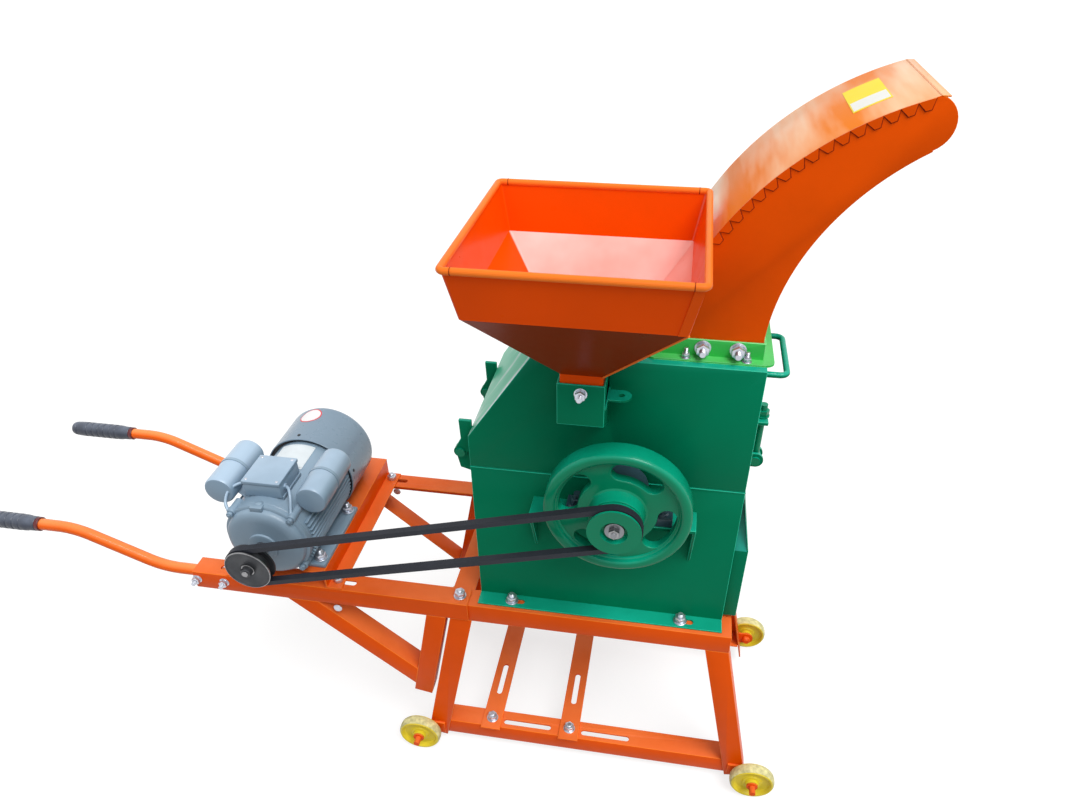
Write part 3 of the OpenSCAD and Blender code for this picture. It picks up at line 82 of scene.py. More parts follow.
# "sky" is a painted highlight, the tint of faces that turn to the light ("facing"), "lift" how much of it and of the
# gloss they take,
# "calm" how even it is, "under" how much painted shade darkens faces that look down
def surface(name, colour, rough, metal=0.0, level=0.5, sky=None, lift=0.0, calm=0.45, facing=(0, 0, 1),
            catch=(0.2, 0.75), under=0.0, coat=0.0, mottle=0.08, mottleScale=6.0, grain=0.12, grainScale=420.0,
            streak=None, wave=0.0):
    mat = bpy.data.materials.new(name)
    mat.use_nodes = True
    tree = mat.node_tree
    shader = tree.nodes["Principled BSDF"]
    for key, value in (("Metallic", metal), ("Specular IOR Level", level), ("Coat Roughness", 0.14)):
        shader.inputs[key].default_value = value

    def noise(scale, detail, vector, roughness=0.5):
        values = {"Scale": scale, "Detail": detail, "Roughness": roughness}
        return addNode(tree, "ShaderNodeTexNoise", values, {"Vector": vector}).outputs["Fac"]

    def ranged(value, ends):
        return addNode(tree, "ShaderNodeMapRange", ends, {"Value": value}).outputs["Result"]

    base = linear(*colour)
    coords = addNode(tree, "ShaderNodeTexCoord").outputs
    place = addNode(tree, "ShaderNodeMapping", {"Scale": streak or (1, 1, 1)}, {"Vector": coords["Object"]}).outputs[0]
    broad = noise(mottleScale, 4.0, place, 0.55)
    tone = addNode(tree, "ShaderNodeValToRGB", feeds={"Fac": broad})
    for element, position, grow in zip(tone.color_ramp.elements, (0.3, 0.72), (1 - mottle, 1 + mottle)):
        element.position = position
        element.color = [min(1, c * grow) for c in base[:3]] + [1]
    parts = addNode(tree, "ShaderNodeSeparateXYZ", feeds={0: coords["Normal"]})
    # Painted highlight: faces turned to the light take the sky tint
    toward = addNode(tree, "ShaderNodeVectorMath", {1: facing}, {0: coords["Normal"]}, operation="DOT_PRODUCT")
    up = ranged(toward.outputs["Value"], {"From Min": catch[0], "From Max": catch[1]})
    patch = ranged(broad, {"From Min": 0.34, "From Max": 0.64, "To Min": calm, "To Max": 1.0})
    sheen = addNode(tree, "ShaderNodeMath", feeds={0: up, 1: patch}, operation="MULTIPLY").outputs[0]
    share = addNode(tree, "ShaderNodeMath", {1: lift}, {0: sheen}, operation="MULTIPLY").outputs[0]
    gloss = addNode(tree, "ShaderNodeMath", {1: 0.5, 2: coat}, {0: share}, operation="MULTIPLY_ADD").outputs[0]
    tinted = addNode(tree, "ShaderNodeMix", {"B": linear(*(sky or colour))},
                     {"Factor": share, "A": tone.outputs["Color"]}, data_type="RGBA").outputs["Result"]
    # Painted shade: faces that look down are darkened
    down = ranged(parts.outputs["Z"], {"From Min": -0.25, "From Max": -0.6, "To Max": under})
    shaded = addNode(tree, "ShaderNodeMix", {"B": [0.12 * c for c in base[:3]] + [1]},
                     {"Factor": down, "A": tinted}, data_type="RGBA").outputs["Result"]
    smear = noise(mottleScale * 7, 3.0, place)
    shine = ranged(smear, {"To Min": max(0.03, rough - 0.07), "To Max": min(1, rough + 0.09)})
    bump = addNode(tree, "ShaderNodeBump", {"Strength": grain, "Distance": 0.0006},
                   {"Height": noise(grainScale, 2.0, place)}).outputs["Normal"]
    dent = addNode(tree, "ShaderNodeBump", {"Strength": wave, "Distance": 0.02},
                   {"Height": noise(7.0, 1.0, coords["Object"]), "Normal": bump}).outputs["Normal"]
    for key, socket in (("Base Color", shaded), ("Coat Weight", gloss), ("Roughness", shine), ("Normal", dent)):
        tree.links.new(socket, shader.inputs[key])
    return mat


# Each paint's sky tint is a painted highlight on faces turned to the light, and its under value is painted shade on
# faces that look down
orange, orangeSky = (234, 84, 0), (252, 168, 104)
green, greenSky = (0, 124, 87), (24, 186, 156)
finishes = {
    "orange": surface("orangePaint", orange, 0.36, level=0.1, sky=orangeSky, lift=0.3, under=0.3, grain=0.05,
                      wave=0.02),
    # Lighter orange for rounded edges, the hopper's rim and its wires: a painted edge highlight
    "orangeEdge": surface("orangeEdgeHighlight", (252, 124, 38), 0.36, level=0.12, grain=0.05),
    # Hopper sheet: a painted pinkish-white reflection on slopes turned to the light, and strong painted shade on faces
    # that look down
    "orangeSheet": surface("orangeSheetPaint", (240, 80, 0), 0.3, level=0.06, sky=(255, 216, 208), lift=1.0,
                           calm=0.55, facing=(-0.22, -0.38, 0.9), catch=(0.6, 0.87), under=0.8, grain=0.01,
                           mottle=0.06, wave=0.02),
    "chuteSheet": surface("chutePaint", (240, 86, 0), 0.36, level=0.06, sky=(255, 190, 120), lift=0.8, calm=0.2,
                          under=0.2, mottle=0.06, mottleScale=12, streak=(1, 0.12, 1), grain=0.05, wave=0.04),
    # Lighter copy of the chute paint for its top faces: a painted highlight
    "chuteTop": surface("chuteTopPaint", (246, 134, 36), 0.36, level=0.05, sky=(254, 206, 162), lift=0.95, calm=-0.45,
                        facing=(-0.6, 0, 0.8), catch=(0.4, 0.8), mottle=0.06, mottleScale=12,
                        streak=(1, 0.15, 1), grain=0.03, wave=0.03),
    "tubeOrange": surface("orangeTube", (240, 98, 10), 0.3, level=0.16, sky=(252, 158, 88), lift=0.75,
                          catch=(0.4, 0.95), calm=0.7, grain=0.05),
    # Dark red-brown for the joints at the hopper rim's corners and for the painted shadow lines round the chute's tabs
    "seam": surface("orangeSeamAndShadow", (142, 34, 4), 0.5, level=0.1, mottle=0.2, mottleScale=60),
    "green": surface("greenPaint", green, 0.36, level=0.05, sky=greenSky, lift=0.95, catch=(0.15, 0.6), under=0.3,
                     mottle=0.1, mottleScale=4, grain=0.05, wave=0.04),
    # Lighter green for the hood's slanted face, with a painted white reflection streak
    "greenSlantHighlight": surface("greenSlantHighlightPaint", (84, 196, 156), 0.3, level=0.1, sky=(236, 238, 248), lift=1.0, calm=-1.5,
                           facing=(-0.71, 0, 0.71), catch=(0.6, 0.9), mottleScale=11.3, streak=(0.2, 1, 0.2),
                           grain=0.03),
    # Lighter teal copy of the green for the outlet cover's sloping face: painted light
    "greenSlope": surface("greenSlopePaint", (16, 152, 130), 0.3, level=0.1, sky=(48, 192, 172), lift=0.5,
                          facing=(0, -0.954, 0.3), catch=(0.5, 0.9), grain=0.03),
    # Lighter green for rounded edges: a painted edge highlight
    "greenEdge": surface("greenEdgeHighlight", (30, 190, 152), 0.34, level=0.2, grain=0.05),
    "castGreen": surface("castGreenPaint", (0, 132, 94), 0.32, level=0.1, sky=(10, 178, 144), lift=0.8, coat=0.15,
                         grain=0.3, grainScale=210),
    "lightGreen": surface("lightGreenPaint", (58, 194, 84), 0.32, level=0.2, sky=(118, 226, 132), lift=0.5, grain=0.04),
    # Paler light green for rounded edges: a painted edge highlight
    "lightGreenEdge": surface("lightGreenEdgeHighlight", (136, 234, 150), 0.32, level=0.2, grain=0.04),
    "motorGrey": surface("motorPaint", (118, 140, 158), 0.4, sky=(160, 186, 206), lift=0.6, under=0.3, grain=0.3,
                         grainScale=170),
    "motorSheet": surface("motorSheetPaint", (118, 140, 158), 0.28, sky=(140, 160, 178), lift=0.4, under=0.3,
                          grain=0.03, grainScale=300, mottle=0.03),
    "capGrey": surface("capacitorPlastic", (124, 148, 168), 0.34, sky=(190, 214, 236), lift=0.7, under=0.3, grain=0.04,
                       grainScale=150),
    "bearing": surface("bearingPaint", (56, 82, 96), 0.4, lift=0.3, grain=0.3, grainScale=230),
    "zinc": surface("zincPlate", (204, 208, 218), 0.34, metal=0.85, mottle=0.16, mottleScale=60, grain=0.08),
    "steel": surface("turnedSteel", (150, 150, 152), 0.3, metal=1.0, mottle=0.12, mottleScale=30,
                     streak=(1, 1, 12), grain=0.1, grainScale=900),
    "hardSteel": surface("groundSteel", (128, 130, 134), 0.28, metal=1.0, mottle=0.18, mottleScale=24, grain=0.08),
    "darkIron": surface("darkTurnedIron", (62, 64, 68), 0.42, metal=0.6, mottle=0.25, mottleScale=40,
                        grain=0.15, grainScale=700),
    "core": surface("motorCore", (120, 74, 46), 0.6, mottle=0.25, mottleScale=50, grain=0.3),
    "rubber": surface("beltRubber", (33, 36, 45), 0.55, level=0.3, mottle=0.15, mottleScale=30, grain=0.25,
                      grainScale=1300),
    "gripRubber": surface("gripRubber", (52, 58, 72), 0.36, sky=(112, 122, 140), lift=0.6, catch=(0.3, 0.95),
                          mottle=0.12, mottleScale=40, grain=0.2, grainScale=900),
    "gripRing": surface("gripRing", (96, 24, 26), 0.4, mottle=0.1, grain=0.1),
    "yellow": surface("yellowPlastic", (224, 202, 44), 0.38, level=0.3, mottle=0.07, mottleScale=18, grain=0.06),
    "tread": surface("wheelTread", (216, 210, 152), 0.6, level=0.3, mottle=0.3, mottleScale=110, grain=0.25,
                     grainScale=500),
    "black": surface("blackPlastic", (22, 23, 26), 0.4, mottle=0.15, grain=0.08),
    "labelYellow": surface("blankLabelFrame", (250, 226, 50), 0.45, level=0.2, mottle=0.05, grain=0.02),
    "labelWhite": surface("blankLabelPanel", (238, 238, 232), 0.45, level=0.2, mottle=0.03, grain=0.02),
    "plate": surface("blankPlate", (222, 230, 234), 0.36, mottle=0.08, mottleScale=30, grain=0.04),
    "sticker": surface("blankSticker", (240, 238, 238), 0.4, mottle=0.03, grain=0.02),
    "stickerRing": surface("stickerRing", (222, 60, 70), 0.4, mottle=0.05, grain=0.02),
}
print("finishes made:", len(finishes))


# Shows a mesh as a piece, with its body, its finish and the nodes that it stands for
def putPiece(name, bm, body, finish, nodes=(), sharp=32, closed=True):
    if closed:
        bmesh.ops.recalc_face_normals(bm, faces=bm.faces)
    mesh = bpy.data.meshes.new(name)
    bm.to_mesh(mesh)
    bm.free()
    for face in mesh.polygons:
        face.use_smooth = True
    mesh.set_sharp_from_angle(angle=math.radians(sharp))
    for one in finish if isinstance(finish, (list, tuple)) else [finish]:
        mesh.materials.append(finishes[one])
    made = bpy.data.objects.new(name, mesh)
    bpy.context.scene.collection.objects.link(made)
    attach(made, body)
    if nodes:
        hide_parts(*nodes)


def onlyVerts(items):
    return [item for item in items if isinstance(item, bmesh.types.BMVert)]


def facesOf(verts):
    return {face for vert in verts for face in vert.link_faces}


def edgesOf(verts):
    return list({edge for vert in verts for edge in vert.link_edges})


def paint(faces, material):
    for face in faces:
        face.material_index = material


def roundEdges(bm, edges, width, segments=2, clamp=True):
    return bmesh.ops.bevel(bm, geom=edges, offset=mm(width), offset_type="OFFSET", segments=segments, profile=0.5,
                           affect="EDGES", clamp_overlap=clamp, material=-1)["faces"]


def closeLoop(bm, verts):
    return [bm.edges.new(pair) for pair in zip(verts, verts[1:] + verts[:1])]


# The shapes below take the drawing's millimetres
def addBlock(bm, low, high, bevel=0.0, segments=2, material=0):
    low, high = at(*low), at(*high)
    size = Matrix.Diagonal((*(high - low), 1))
    verts = bmesh.ops.create_cube(bm, size=1.0, matrix=Matrix.Translation((low + high) / 2) @ size)["verts"]
    paint(facesOf(verts), material)
    if bevel:
        roundEdges(bm, edgesOf(verts), bevel, segments)


def addRod(bm, start, end, radius, segments=24, material=0):
    start, end = at(*start), at(*end)
    along = end - start
    turn = along.to_track_quat("Z", "Y").to_matrix().to_4x4()
    verts = bmesh.ops.create_cone(bm, cap_ends=True, segments=segments, radius1=mm(radius), radius2=mm(radius),
                                  depth=along.length, matrix=Matrix.Translation((start + end) / 2) @ turn)["verts"]
    paint(facesOf(verts), material)
    return verts


# A profile of (radius, distance along the axis) is spun about an axis
def addTurned(bm, profile, centre, axis, steps=48, material=0):
    centre, axis = at(*centre), Vector(axis).normalized()
    side = axis.orthogonal().normalized()
    verts = [bm.verts.new(centre + side * mm(r) + axis * mm(h)) for r, h in profile]
    made = bmesh.ops.spin(bm, geom=verts + closeLoop(bm, verts), cent=centre, axis=axis, angle=2 * math.pi,
                          steps=steps, use_merge=True)
    fresh = facesOf(onlyVerts(made["geom_last"]))
    walk = list(fresh)
    while walk:
        for edge in walk.pop().edges:
            for other in edge.link_faces:
                if other not in fresh:
                    fresh.add(other)
                    walk.append(other)
    paint(fresh, material)
    bmesh.ops.remove_doubles(bm, verts=list({v for f in fresh for v in f.verts}), dist=1e-6)


# Round bar along a row of points, closed at both ends
def addPath(bm, points, radius, sides=12, material=0):
    rings = []
    points = [at(*p) for p in points]
    up = Vector((0, 1, 0))
    for i, point in enumerate(points):
        ahead = points[min(i + 1, len(points) - 1)] - points[max(i - 1, 0)]
        across = ahead.cross(up)
        if across.length < 1e-9:
            across = ahead.orthogonal()
        across.normalize()
        up = across.cross(ahead).normalized()
        turn = Matrix((across, up, across.cross(up))).transposed().to_4x4()
        made = bmesh.ops.create_circle(bm, cap_ends=False, segments=sides, radius=mm(radius),
                                       matrix=Matrix.Translation(point) @ turn)
        rings.append(made["verts"])
    for one, two in zip(rings, rings[1:]):
        edges = [e for e in edgesOf(one + two) if len(e.link_faces) < 2
                 and (set(e.verts) <= set(one) or set(e.verts) <= set(two))]
        paint(bmesh.ops.bridge_loops(bm, edges=edges)["faces"], material)
    for ring in (rings[0], rings[-1]):
        bm.faces.new(ring).material_index = material


def smoothPath(points, steps=6):
    made = []
    for i in range(len(points) - 1):
        a, b = Vector(points[max(i - 1, 0)]), Vector(points[i])
        c, d = Vector(points[i + 1]), Vector(points[min(i + 2, len(points) - 1)])
        for k in range(steps):
            t = k / steps
            made.append(0.5 * (2 * b + (c - a) * t + (2 * a - 5 * b + 4 * c - d) * t ** 2
                               + (3 * b - a - 3 * c + d) * t ** 3))
    return made + [Vector(points[-1])]


# Bolt seen from its nut: flat washer, spring washer, nut and a threaded end
def addNut(bm, foot, axis, d, stud=0.9, washer=True, spring=True, roundHead=False, material=0):
    foot, axis = Vector(foot), Vector(axis).normalized()
    h = 0.0
    if washer:
        edge = [(1.12 * d, 0), (1.16 * d, 0.04 * d), (1.16 * d, 0.16 * d), (1.1 * d, 0.2 * d)]
        addTurned(bm, [(0, 0)] + edge + [(0, 0.2 * d)], foot, axis, 28, material)
        h = 0.2 * d
    if spring:
        addTurned(bm, [(0, h), (0.82 * d, h), (0.84 * d, h + 0.18 * d), (0, h + 0.18 * d)], foot, axis, 24, material)
        h += 0.18 * d
    if roundHead:
        dome = [(0, 0), (1.0, 0), (1.02, 0.12), (0.86, 0.34), (0.5, 0.5), (0, 0.55)]
        addTurned(bm, [(r * d, h + up * d) for r, up in dome], foot, axis, 28, material)
        return
    roundEdges(bm, edgesOf(addRod(bm, foot + axis * h, foot + axis * (h + 0.8 * d), 0.98 * d, 6)), 0.08 * d)
    if stud:
        pitch, top = 0.16 * d, h + 0.8 * d
        rings = [(0, top - 0.02)]
        count = max(2, int(stud * d / pitch))
        for k in range(count):
            rings += [(0.43 * d, top + k * pitch), (0.5 * d, top + (k + 0.5) * pitch)]
        rings += [(0.4 * d, top + count * pitch), (0, top + count * pitch)]
        addTurned(bm, rings, foot, axis, 18, material)


# Gives the faces turned to one side their own finish, the third of the piece, used for lighter copies of a paint as
# painted light on faces turned to the light
def turnedTo(side, near=0.98):
    def mark(bm):
        for face in bm.faces:
            if face.normal.dot(Vector(side).normalized()) > near:
                face.material_index = 2
    return mark


rounding = {"merge": 2e-6, "flat": 0.4, "shortest": 3.0}


# Copy of a CAD node with its long outer edges rounded, the rounded edges taking the second finish, a painted edge
# highlight
def softCopy(node, name, finish, width=1.0, segments=2, angle=40, body="frame", more=None):
    bm = bmesh.new()
    bm.from_mesh(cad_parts[node].data)
    bmesh.ops.remove_doubles(bm, verts=bm.verts, dist=rounding["merge"])
    bmesh.ops.dissolve_limit(bm, angle_limit=math.radians(rounding["flat"]), verts=bm.verts, edges=bm.edges,
                             use_dissolve_boundaries=False)
    edges = [e for e in bm.edges if len(e.link_faces) == 2 and e.calc_face_angle_signed(0) > math.radians(angle)
             and e.calc_length() > mm(rounding["shortest"])]
    wearAndHighlightEdge = roundEdges(bm, edges, width, segments, clamp=False)
    paint(bm.faces, 0)
    if isinstance(finish, list):
        paint(wearAndHighlightEdge, 1)
    if more:
        more(bm)
    putPiece(name, bm, body, finish, (node,), closed=False)


# A CAD node that stays as it is gets its finish
def finishNodes(finish, *nodes):
    for node in nodes:
        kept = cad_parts[node].data.materials
        kept.clear()
        kept.append(finishes[finish])


print("helpers ready")


# The stand and its bolts are the same on both sides of this middle
stand = {"middleX": -18, "middleY": 132}

for node in ("stand_top_frame", "leg_front_left", "leg_front_right", "leg_rear_left", "leg_rear_right",
             "lower_rails", "braces", "motor_rail_front", "motor_rail_rear", "motor_cross_rails",
             "strut_posts", "strut_diagonals"):
    softCopy(node, node + "_rounded", ["orange", "orangeEdge"], width=0.8)
finishNodes("tubeOrange", "handle_front", "handle_rear")

wheels = {"d": 86, "w": 24, "bore": 12.2, "z": 43, "out": 338, "y": -68, "hub": 18, "web": 7}


def buildWheel(name, node, body, sideX, rear):
    x = stand["middleX"] + sideX * wheels["out"]
    y = 2 * stand["middleY"] - wheels["y"] - wheels["w"] if rear else wheels["y"]
    bm = bmesh.new()
    r, w, hub, bore = wheels["d"] / 2, wheels["w"], wheels["hub"], wheels["bore"] / 2
    tyre, dish = r - 3, (w - wheels["web"]) / 2
    half = [(bore, 0), (hub - 6, 0), (hub - 5, 1), (hub - 4.6, 5), (hub, 5.4), (hub + 1, 6.4), (hub + 1.5, dish - 1),
            (hub + 4, dish), (tyre - 9, dish), (tyre - 6.5, dish - 1.6), (tyre - 5, 3), (tyre - 3, 1.2),
            (tyre - 0.6, 1), (tyre, 1.8)]
    ring = [(tyre - 0.2, 2.6), (r - 1.8, 3.2), (r - 0.7, 5), (r, 9)]
    for material, part in enumerate((half, ring)):
        whole = part + [(out, w - deep) for out, deep in reversed(part)]
        addTurned(bm, whole, (x, y, wheels["z"]), alongY, 64, material)
    putPiece(name, bm, body, ["yellow", "tread"], (node,))


for rear, end in enumerate(("front", "rear")):
    for sideX, side in ((-1, "left"), (1, "right")):
        name = "wheel" + end.title() + side.title()
        buildWheel(name, "wheel_" + end + "_" + side, end + "_" + side + "_wheel", sideX, rear)
softCopy("wheel_axles", "wheelAxles", "orange", width=1.2)

# Loose bolts of the stand, the housing's feet and the motor's feet, each a nut above and a head below
boltRows = [
    {"spots": [(-155, -14.25), (143, -14.25)], "z": (431, 425), "nut": {"stud": 0.7},
     "head": {"stud": 0, "spring": False}},
    {"spots": [(-250, -18)], "z": (431, 425), "nut": {"stud": 0.35}, "head": {"stud": 0.6}},
    {"spots": [(-210, -16), (-49, -16)], "z": (67, 60), "nut": {"stud": 0.2}, "head": {"stud": 0.5}},
    {"spots": [(-480, -19), (-680, -19)], "z": (434, 428), "nut": {"stud": 0.5, "washer": False},
     "head": {"stud": 0.2, "washer": False, "spring": False}},
    {"spots": [(-508, -12), (-652, -12), (-508, 119), (-652, 119)], "z": (481, 468), "alone": True,
     "nut": {"stud": 0.8}, "head": {"stud": 0.4, "spring": False}},
]
crossBolts = {"outer": ((-39, -1), (303, 1)), "handle": [-756, -701], "z": 414, "d": 8, "long": 36, "head": 32.5,
              "strut": (-483, 381)}


def bothEnds(y):
    return (y, 2 * stand["middleY"] - y)


def buildStandBolts():
    bm = bmesh.new()
    for row in boltRows:
        for x, y in row["spots"]:
            for side in (y,) if row.get("alone") else bothEnds(y):
                addNut(bm, (x, side, row["z"][0]), alongZ, 10, **row["nut"])
                addNut(bm, (x, side, row["z"][1]), (0, 0, -1), 10, **row["head"])
    d, z = crossBolts["d"], crossBolts["z"]
    for side, way in crossBolts["outer"]:
        for x in crossBolts["handle"]:
            addNut(bm, (x, side, z), (0, way, 0), d, stud=1.1)
            addRod(bm, (x, side - way * crossBolts["long"], z), (x, side, z), d / 2, 16)
            addNut(bm, (x, side - way * crossBolts["head"], z), (0, -way, 0), d, stud=0, washer=False, spring=False)
        x, low = crossBolts["strut"]
        addNut(bm, (x, side, low), (0, way, 0), d, roundHead=True, washer=False, spring=False)
    putPiece("standBolts", bm, "frame", "zinc", ("frame_bolts",))


buildStandBolts()

grip = {"r": 16, "left": -1210, "l": 145, "ribs": 6, "y": -18, "z": 489, "bore": 11.2, "plain": 62,
        "tip": [(0, 0), (9, 0.5), (12.6, 2.4), (14.2, 6), (14.9, 11), (14.1, 12.4), (14.1, 14.4), (15.4, 16)]}


def buildGrips():
    bm = bmesh.new()
    r, end, bore = grip["r"], grip["l"], grip["bore"]
    step = (end - grip["plain"]) / grip["ribs"]
    profile = list(grip["tip"])
    for k in range(grip["ribs"]):
        h = 26 + k * step
        profile += [(r - 0.2, h), (r, h + 0.3 * step), (r - 0.1, h + 0.72 * step), (r - 1, h + 0.8 * step),
                    (r - 1, h + 0.9 * step)]
    profile += [(r - 0.3, end - 34), (r - 0.8, end - 26), (14.3, end - 24), (13.9, end - 9), (13.2, end - 8),
                (bore, end - 8), (bore, 6), (0, 6)]
    ring = [(bore, end - 8), (12.8, end - 8), (13.6, end - 6.6), (13.6, end - 1.2), (12.8, end), (bore, end)]
    for y in bothEnds(grip["y"]):
        for material, part in enumerate((profile, ring)):
            addTurned(bm, part, (grip["left"], y, grip["z"]), (1, 0, 0), 40, material)
    putPiece("handleGrips", bm, "frame", ["gripRubber", "gripRing"], ("grips",))


buildGrips()
print("stand done")


# Motor, its deck being what the feet stand on
motor = {"x": -580, "z": 545, "r": 76, "front": -35, "back": 152, "deck": 471}
casing = {"fins": range(-34, 27, 6), "fin": (9, 165, 2.4), "finOut": 1.3, "foot": (50, 86, -28, 135, 9),
          "lug": (40, 56, 11, 26), "lugY": (-12, 119), "pad": (72, 13), "bosses": (45, 135, 225, 315),
          "boss": (22, 7.5), "seat": (33, -14, 56)}


def motorSpot(y=0):
    return (motor["x"], y, motor["z"])


def around(angle, radius, y):
    a = math.radians(angle)
    return (motor["x"] + radius * math.cos(a), y, motor["z"] + radius * math.sin(a))


def buildCasing():
    bm = bmesh.new()
    r, f, b = motor["r"], motor["front"], motor["back"]
    addTurned(bm, [(r - 6, f), (r - 1, f), (r, f + 1.5), (r, b - 2), (r - 3, b), (13, b), (13, b - 12),
                   (r - 6, b - 12)], motorSpot(), alongY, 96)
    wide, long, thick = casing["fin"]
    size = Matrix.Diagonal((mm(wide), mm(long), mm(thick), 1))
    middle = at(*motorSpot(f + 6 + long / 2))
    for a in casing["fins"]:
        for turn in (math.radians(a), math.radians(180 - a)):
            out = Vector((math.cos(turn), 0, math.sin(turn)))
            place = Matrix.Translation(middle + out * mm(r + casing["finOut"])) @ Matrix.Rotation(-turn, 4, "Y")
            roundEdges(bm, edgesOf(bmesh.ops.create_cube(bm, size=1.0, matrix=place @ size)["verts"]), 0.8)
    x, deck = motor["x"], motor["deck"]
    inner, outer, y0, y1, thick = casing["foot"]
    lugIn, lugOut, lugHalf, lugHigh = casing["lug"]
    away, radius = casing["pad"]
    for side in (-1, 1):
        x0, x1 = sorted((x + side * inner, x + side * outer))
        addBlock(bm, (x0, y0, deck), (x1, y1, deck + thick), bevel=2.5)
        x0, x1 = sorted((x + side * lugIn, x + side * lugOut))
        for y in casing["lugY"]:
            addBlock(bm, (x0, y - lugHalf, deck), (x1, y + lugHalf, deck + lugHigh), bevel=3)
            addRod(bm, (x + side * away, y, deck + thick - 0.5), (x + side * away, y, deck + thick + 0.6), radius, 28)
    for a in casing["bosses"]:
        addRod(bm, around(a, r + 1, f), around(a, r + 1, f + casing["boss"][0]), casing["boss"][1], 20)
    half, y0, y1 = casing["seat"]
    addBlock(bm, (x - half, y0, motor["z"] + r - 6), (x + half, y1, motor["z"] + r + 0.2), bevel=1)
    putPiece("motorCasing", bm, "frame", "motorGrey", ("motor_casing",))


def buildShield():
    bm = bmesh.new()
    r, f = motor["r"], motor["front"]
    addTurned(bm, [(12.2, f - 29), (24, f - 29), (26, f - 28), (27, f - 25), (30, f - 24.2), (r - 26, f - 23.4),
                   (r - 16, f - 22), (r - 9, f - 18.5), (r - 6, f - 15), (r - 5, f - 9.5), (r - 1.6, f - 8.8),
                   (r, f - 7.4), (r, f), (r - 12, f), (r - 14, f - 17), (28, f - 19), (26, f - 8), (12.2, f - 8)],
              motorSpot(), alongY, 96)
    x, top = motor["x"], motor["z"] + r
    addBlock(bm, (x - 13, f - 16, top - 8), (x + 9, f - 4, top + 1.6), bevel=1.2)
    addNut(bm, (x - 2, f - 1, top - 2), (0, 0.2, 1), 7, washer=False, roundHead=True)
    for a in casing["bosses"]:
        addTurned(bm, [(0, -10), (6.8, -10), (8, -8.6), (8, 0), (0, 0)], around(a, r + 1, f), alongY, 24)
        addNut(bm, around(a, r + 1, f - 10), (0, -1, 0), 6, stud=0.3)
    putPiece("motorShield", bm, "frame", "motorGrey", ("motor_end_shield",))


cover = {"r": 85, "y": 139, "l": 117, "round": 15, "rings": (20, 32, 44, 56), "screws": (98, 188, 278, 8), "screwY": 13}


def buildFanCover():
    bm = bmesh.new()
    r, y, l, c, inside = cover["r"], cover["y"], cover["l"], cover["round"], motor["r"]
    outer = [(r - 2, 0), (r - 0.5, 0), (r, 0.6), (r, l - c - 2)]
    outer += [(r - c + c * math.cos(math.radians(t)), l - c + c * math.sin(math.radians(t))) for t in range(0, 91, 10)]
    inner = [(max(0, p[0] - 2), p[1] - 2) for p in reversed(outer[4:])]
    lip = [(r - 2, 18), (inside + 0.4, 17), (inside + 0.4, 8), (r - 2, 7)]
    addTurned(bm, outer + [(0, l), (0, l - 2)] + inner + lip, motorSpot(y), alongY, 96)
    putPiece("motorFanCover", bm, "frame", "motorSheet", ("motor_fan_cover",))
    bm = bmesh.new()
    addTurned(bm, [(inside + 0.3, 5.5), (r - 2.2, 5.5), (r - 2.2, 6.8), (inside + 0.3, 6.8)], motorSpot(y), alongY, 96)
    for ring in cover["rings"]:
        for a in range(0, 360, 30):
            addRod(bm, around(a, ring, y + l - 1.4), around(a, ring, y + l + 0.15), 3, 12)
    for a in cover["screws"]:
        out = (math.cos(math.radians(a)), 0, math.sin(math.radians(a)))
        addNut(bm, around(a, r, y + cover["screwY"]), out, 3.2, washer=False, spring=False, roundHead=True)
    putPiece("fanCoverGap", bm, "frame", "black")


box = {"x": -583, "half": 34, "front": -17, "back": 57, "top": 651, "lid": 7, "screw": 6, "gland": 17}


def buildTerminalBox():
    bm = bmesh.new()
    x, half, top, front, back = box["x"], box["half"], box["top"], box["front"], box["back"]
    low, gland, edge = top - box["lid"], top - box["gland"], box["screw"]
    addBlock(bm, (x - half, front, motor["z"] + motor["r"] - 3), (x + half, back, low), bevel=3)
    addBlock(bm, (x - half - 1, front - 1, low), (x + half + 1, back + 1, top), bevel=1.6, segments=3)
    screw = [(0, -0.4), (2.8, -0.4), (2.8, 0), (2.2, 0.7), (0, 0.9)]
    for side in (-1, 1):
        for y in (front + edge, back - edge):
            addTurned(bm, screw, (x + side * (half - edge), y, top), alongZ, 18, material=1)
        addRod(bm, (x + side * (half - 1), 0, gland), (x + side * (half + 4), 0, gland), 5.5, 6)
    putPiece("motorTerminalBox", bm, "frame", ["capGrey", "zinc"], ("motor_terminal_box",))


capacitor = {"dx": 84, "dz": 78, "r": 27, "y": -20, "l": 120, "posts": (34, 86), "strap": (56, 62)}


def buildCapacitor(name, node, side):
    bm = bmesh.new()
    r, l, (low, high) = capacitor["r"], capacitor["l"], capacitor["strap"]
    spot = (motor["x"] + side * capacitor["dx"], capacitor["y"], motor["z"] + capacitor["dz"])
    half = [(0, 0), (r - 5, 0), (r - 2, 1), (r - 0.4, 3.5), (r, 7)]
    addTurned(bm, half + [(wide, l - deep) for wide, deep in reversed(half)], spot, alongY, 56)
    out = Vector((side * capacitor["dx"], 0, capacitor["dz"])).normalized()
    for along in capacitor["posts"]:
        foot = Vector(motorSpot(capacitor["y"] + along)) + out * (motor["r"] - 1)
        addRod(bm, foot, foot + out * 18, 11, 4)
    addTurned(bm, [(r + 0.1, low), (r + 1.1, low), (r + 1.1, high), (r + 0.1, high)], spot, alongY, 56, material=1)
    putPiece(name, bm, "frame", ["capGrey", "motorGrey"], (node,))


leads = {"r": 2.8, "left": [(-36, 0, 89), (-52, -6, 88), (-66, -18, 80), (-68, -32, 66), (-60, -42, 57)],
         "right": [(33, 0, 89), (42, -8, 88), (48, -20, 78), (51, -32, 64), (54, -42, 54)]}


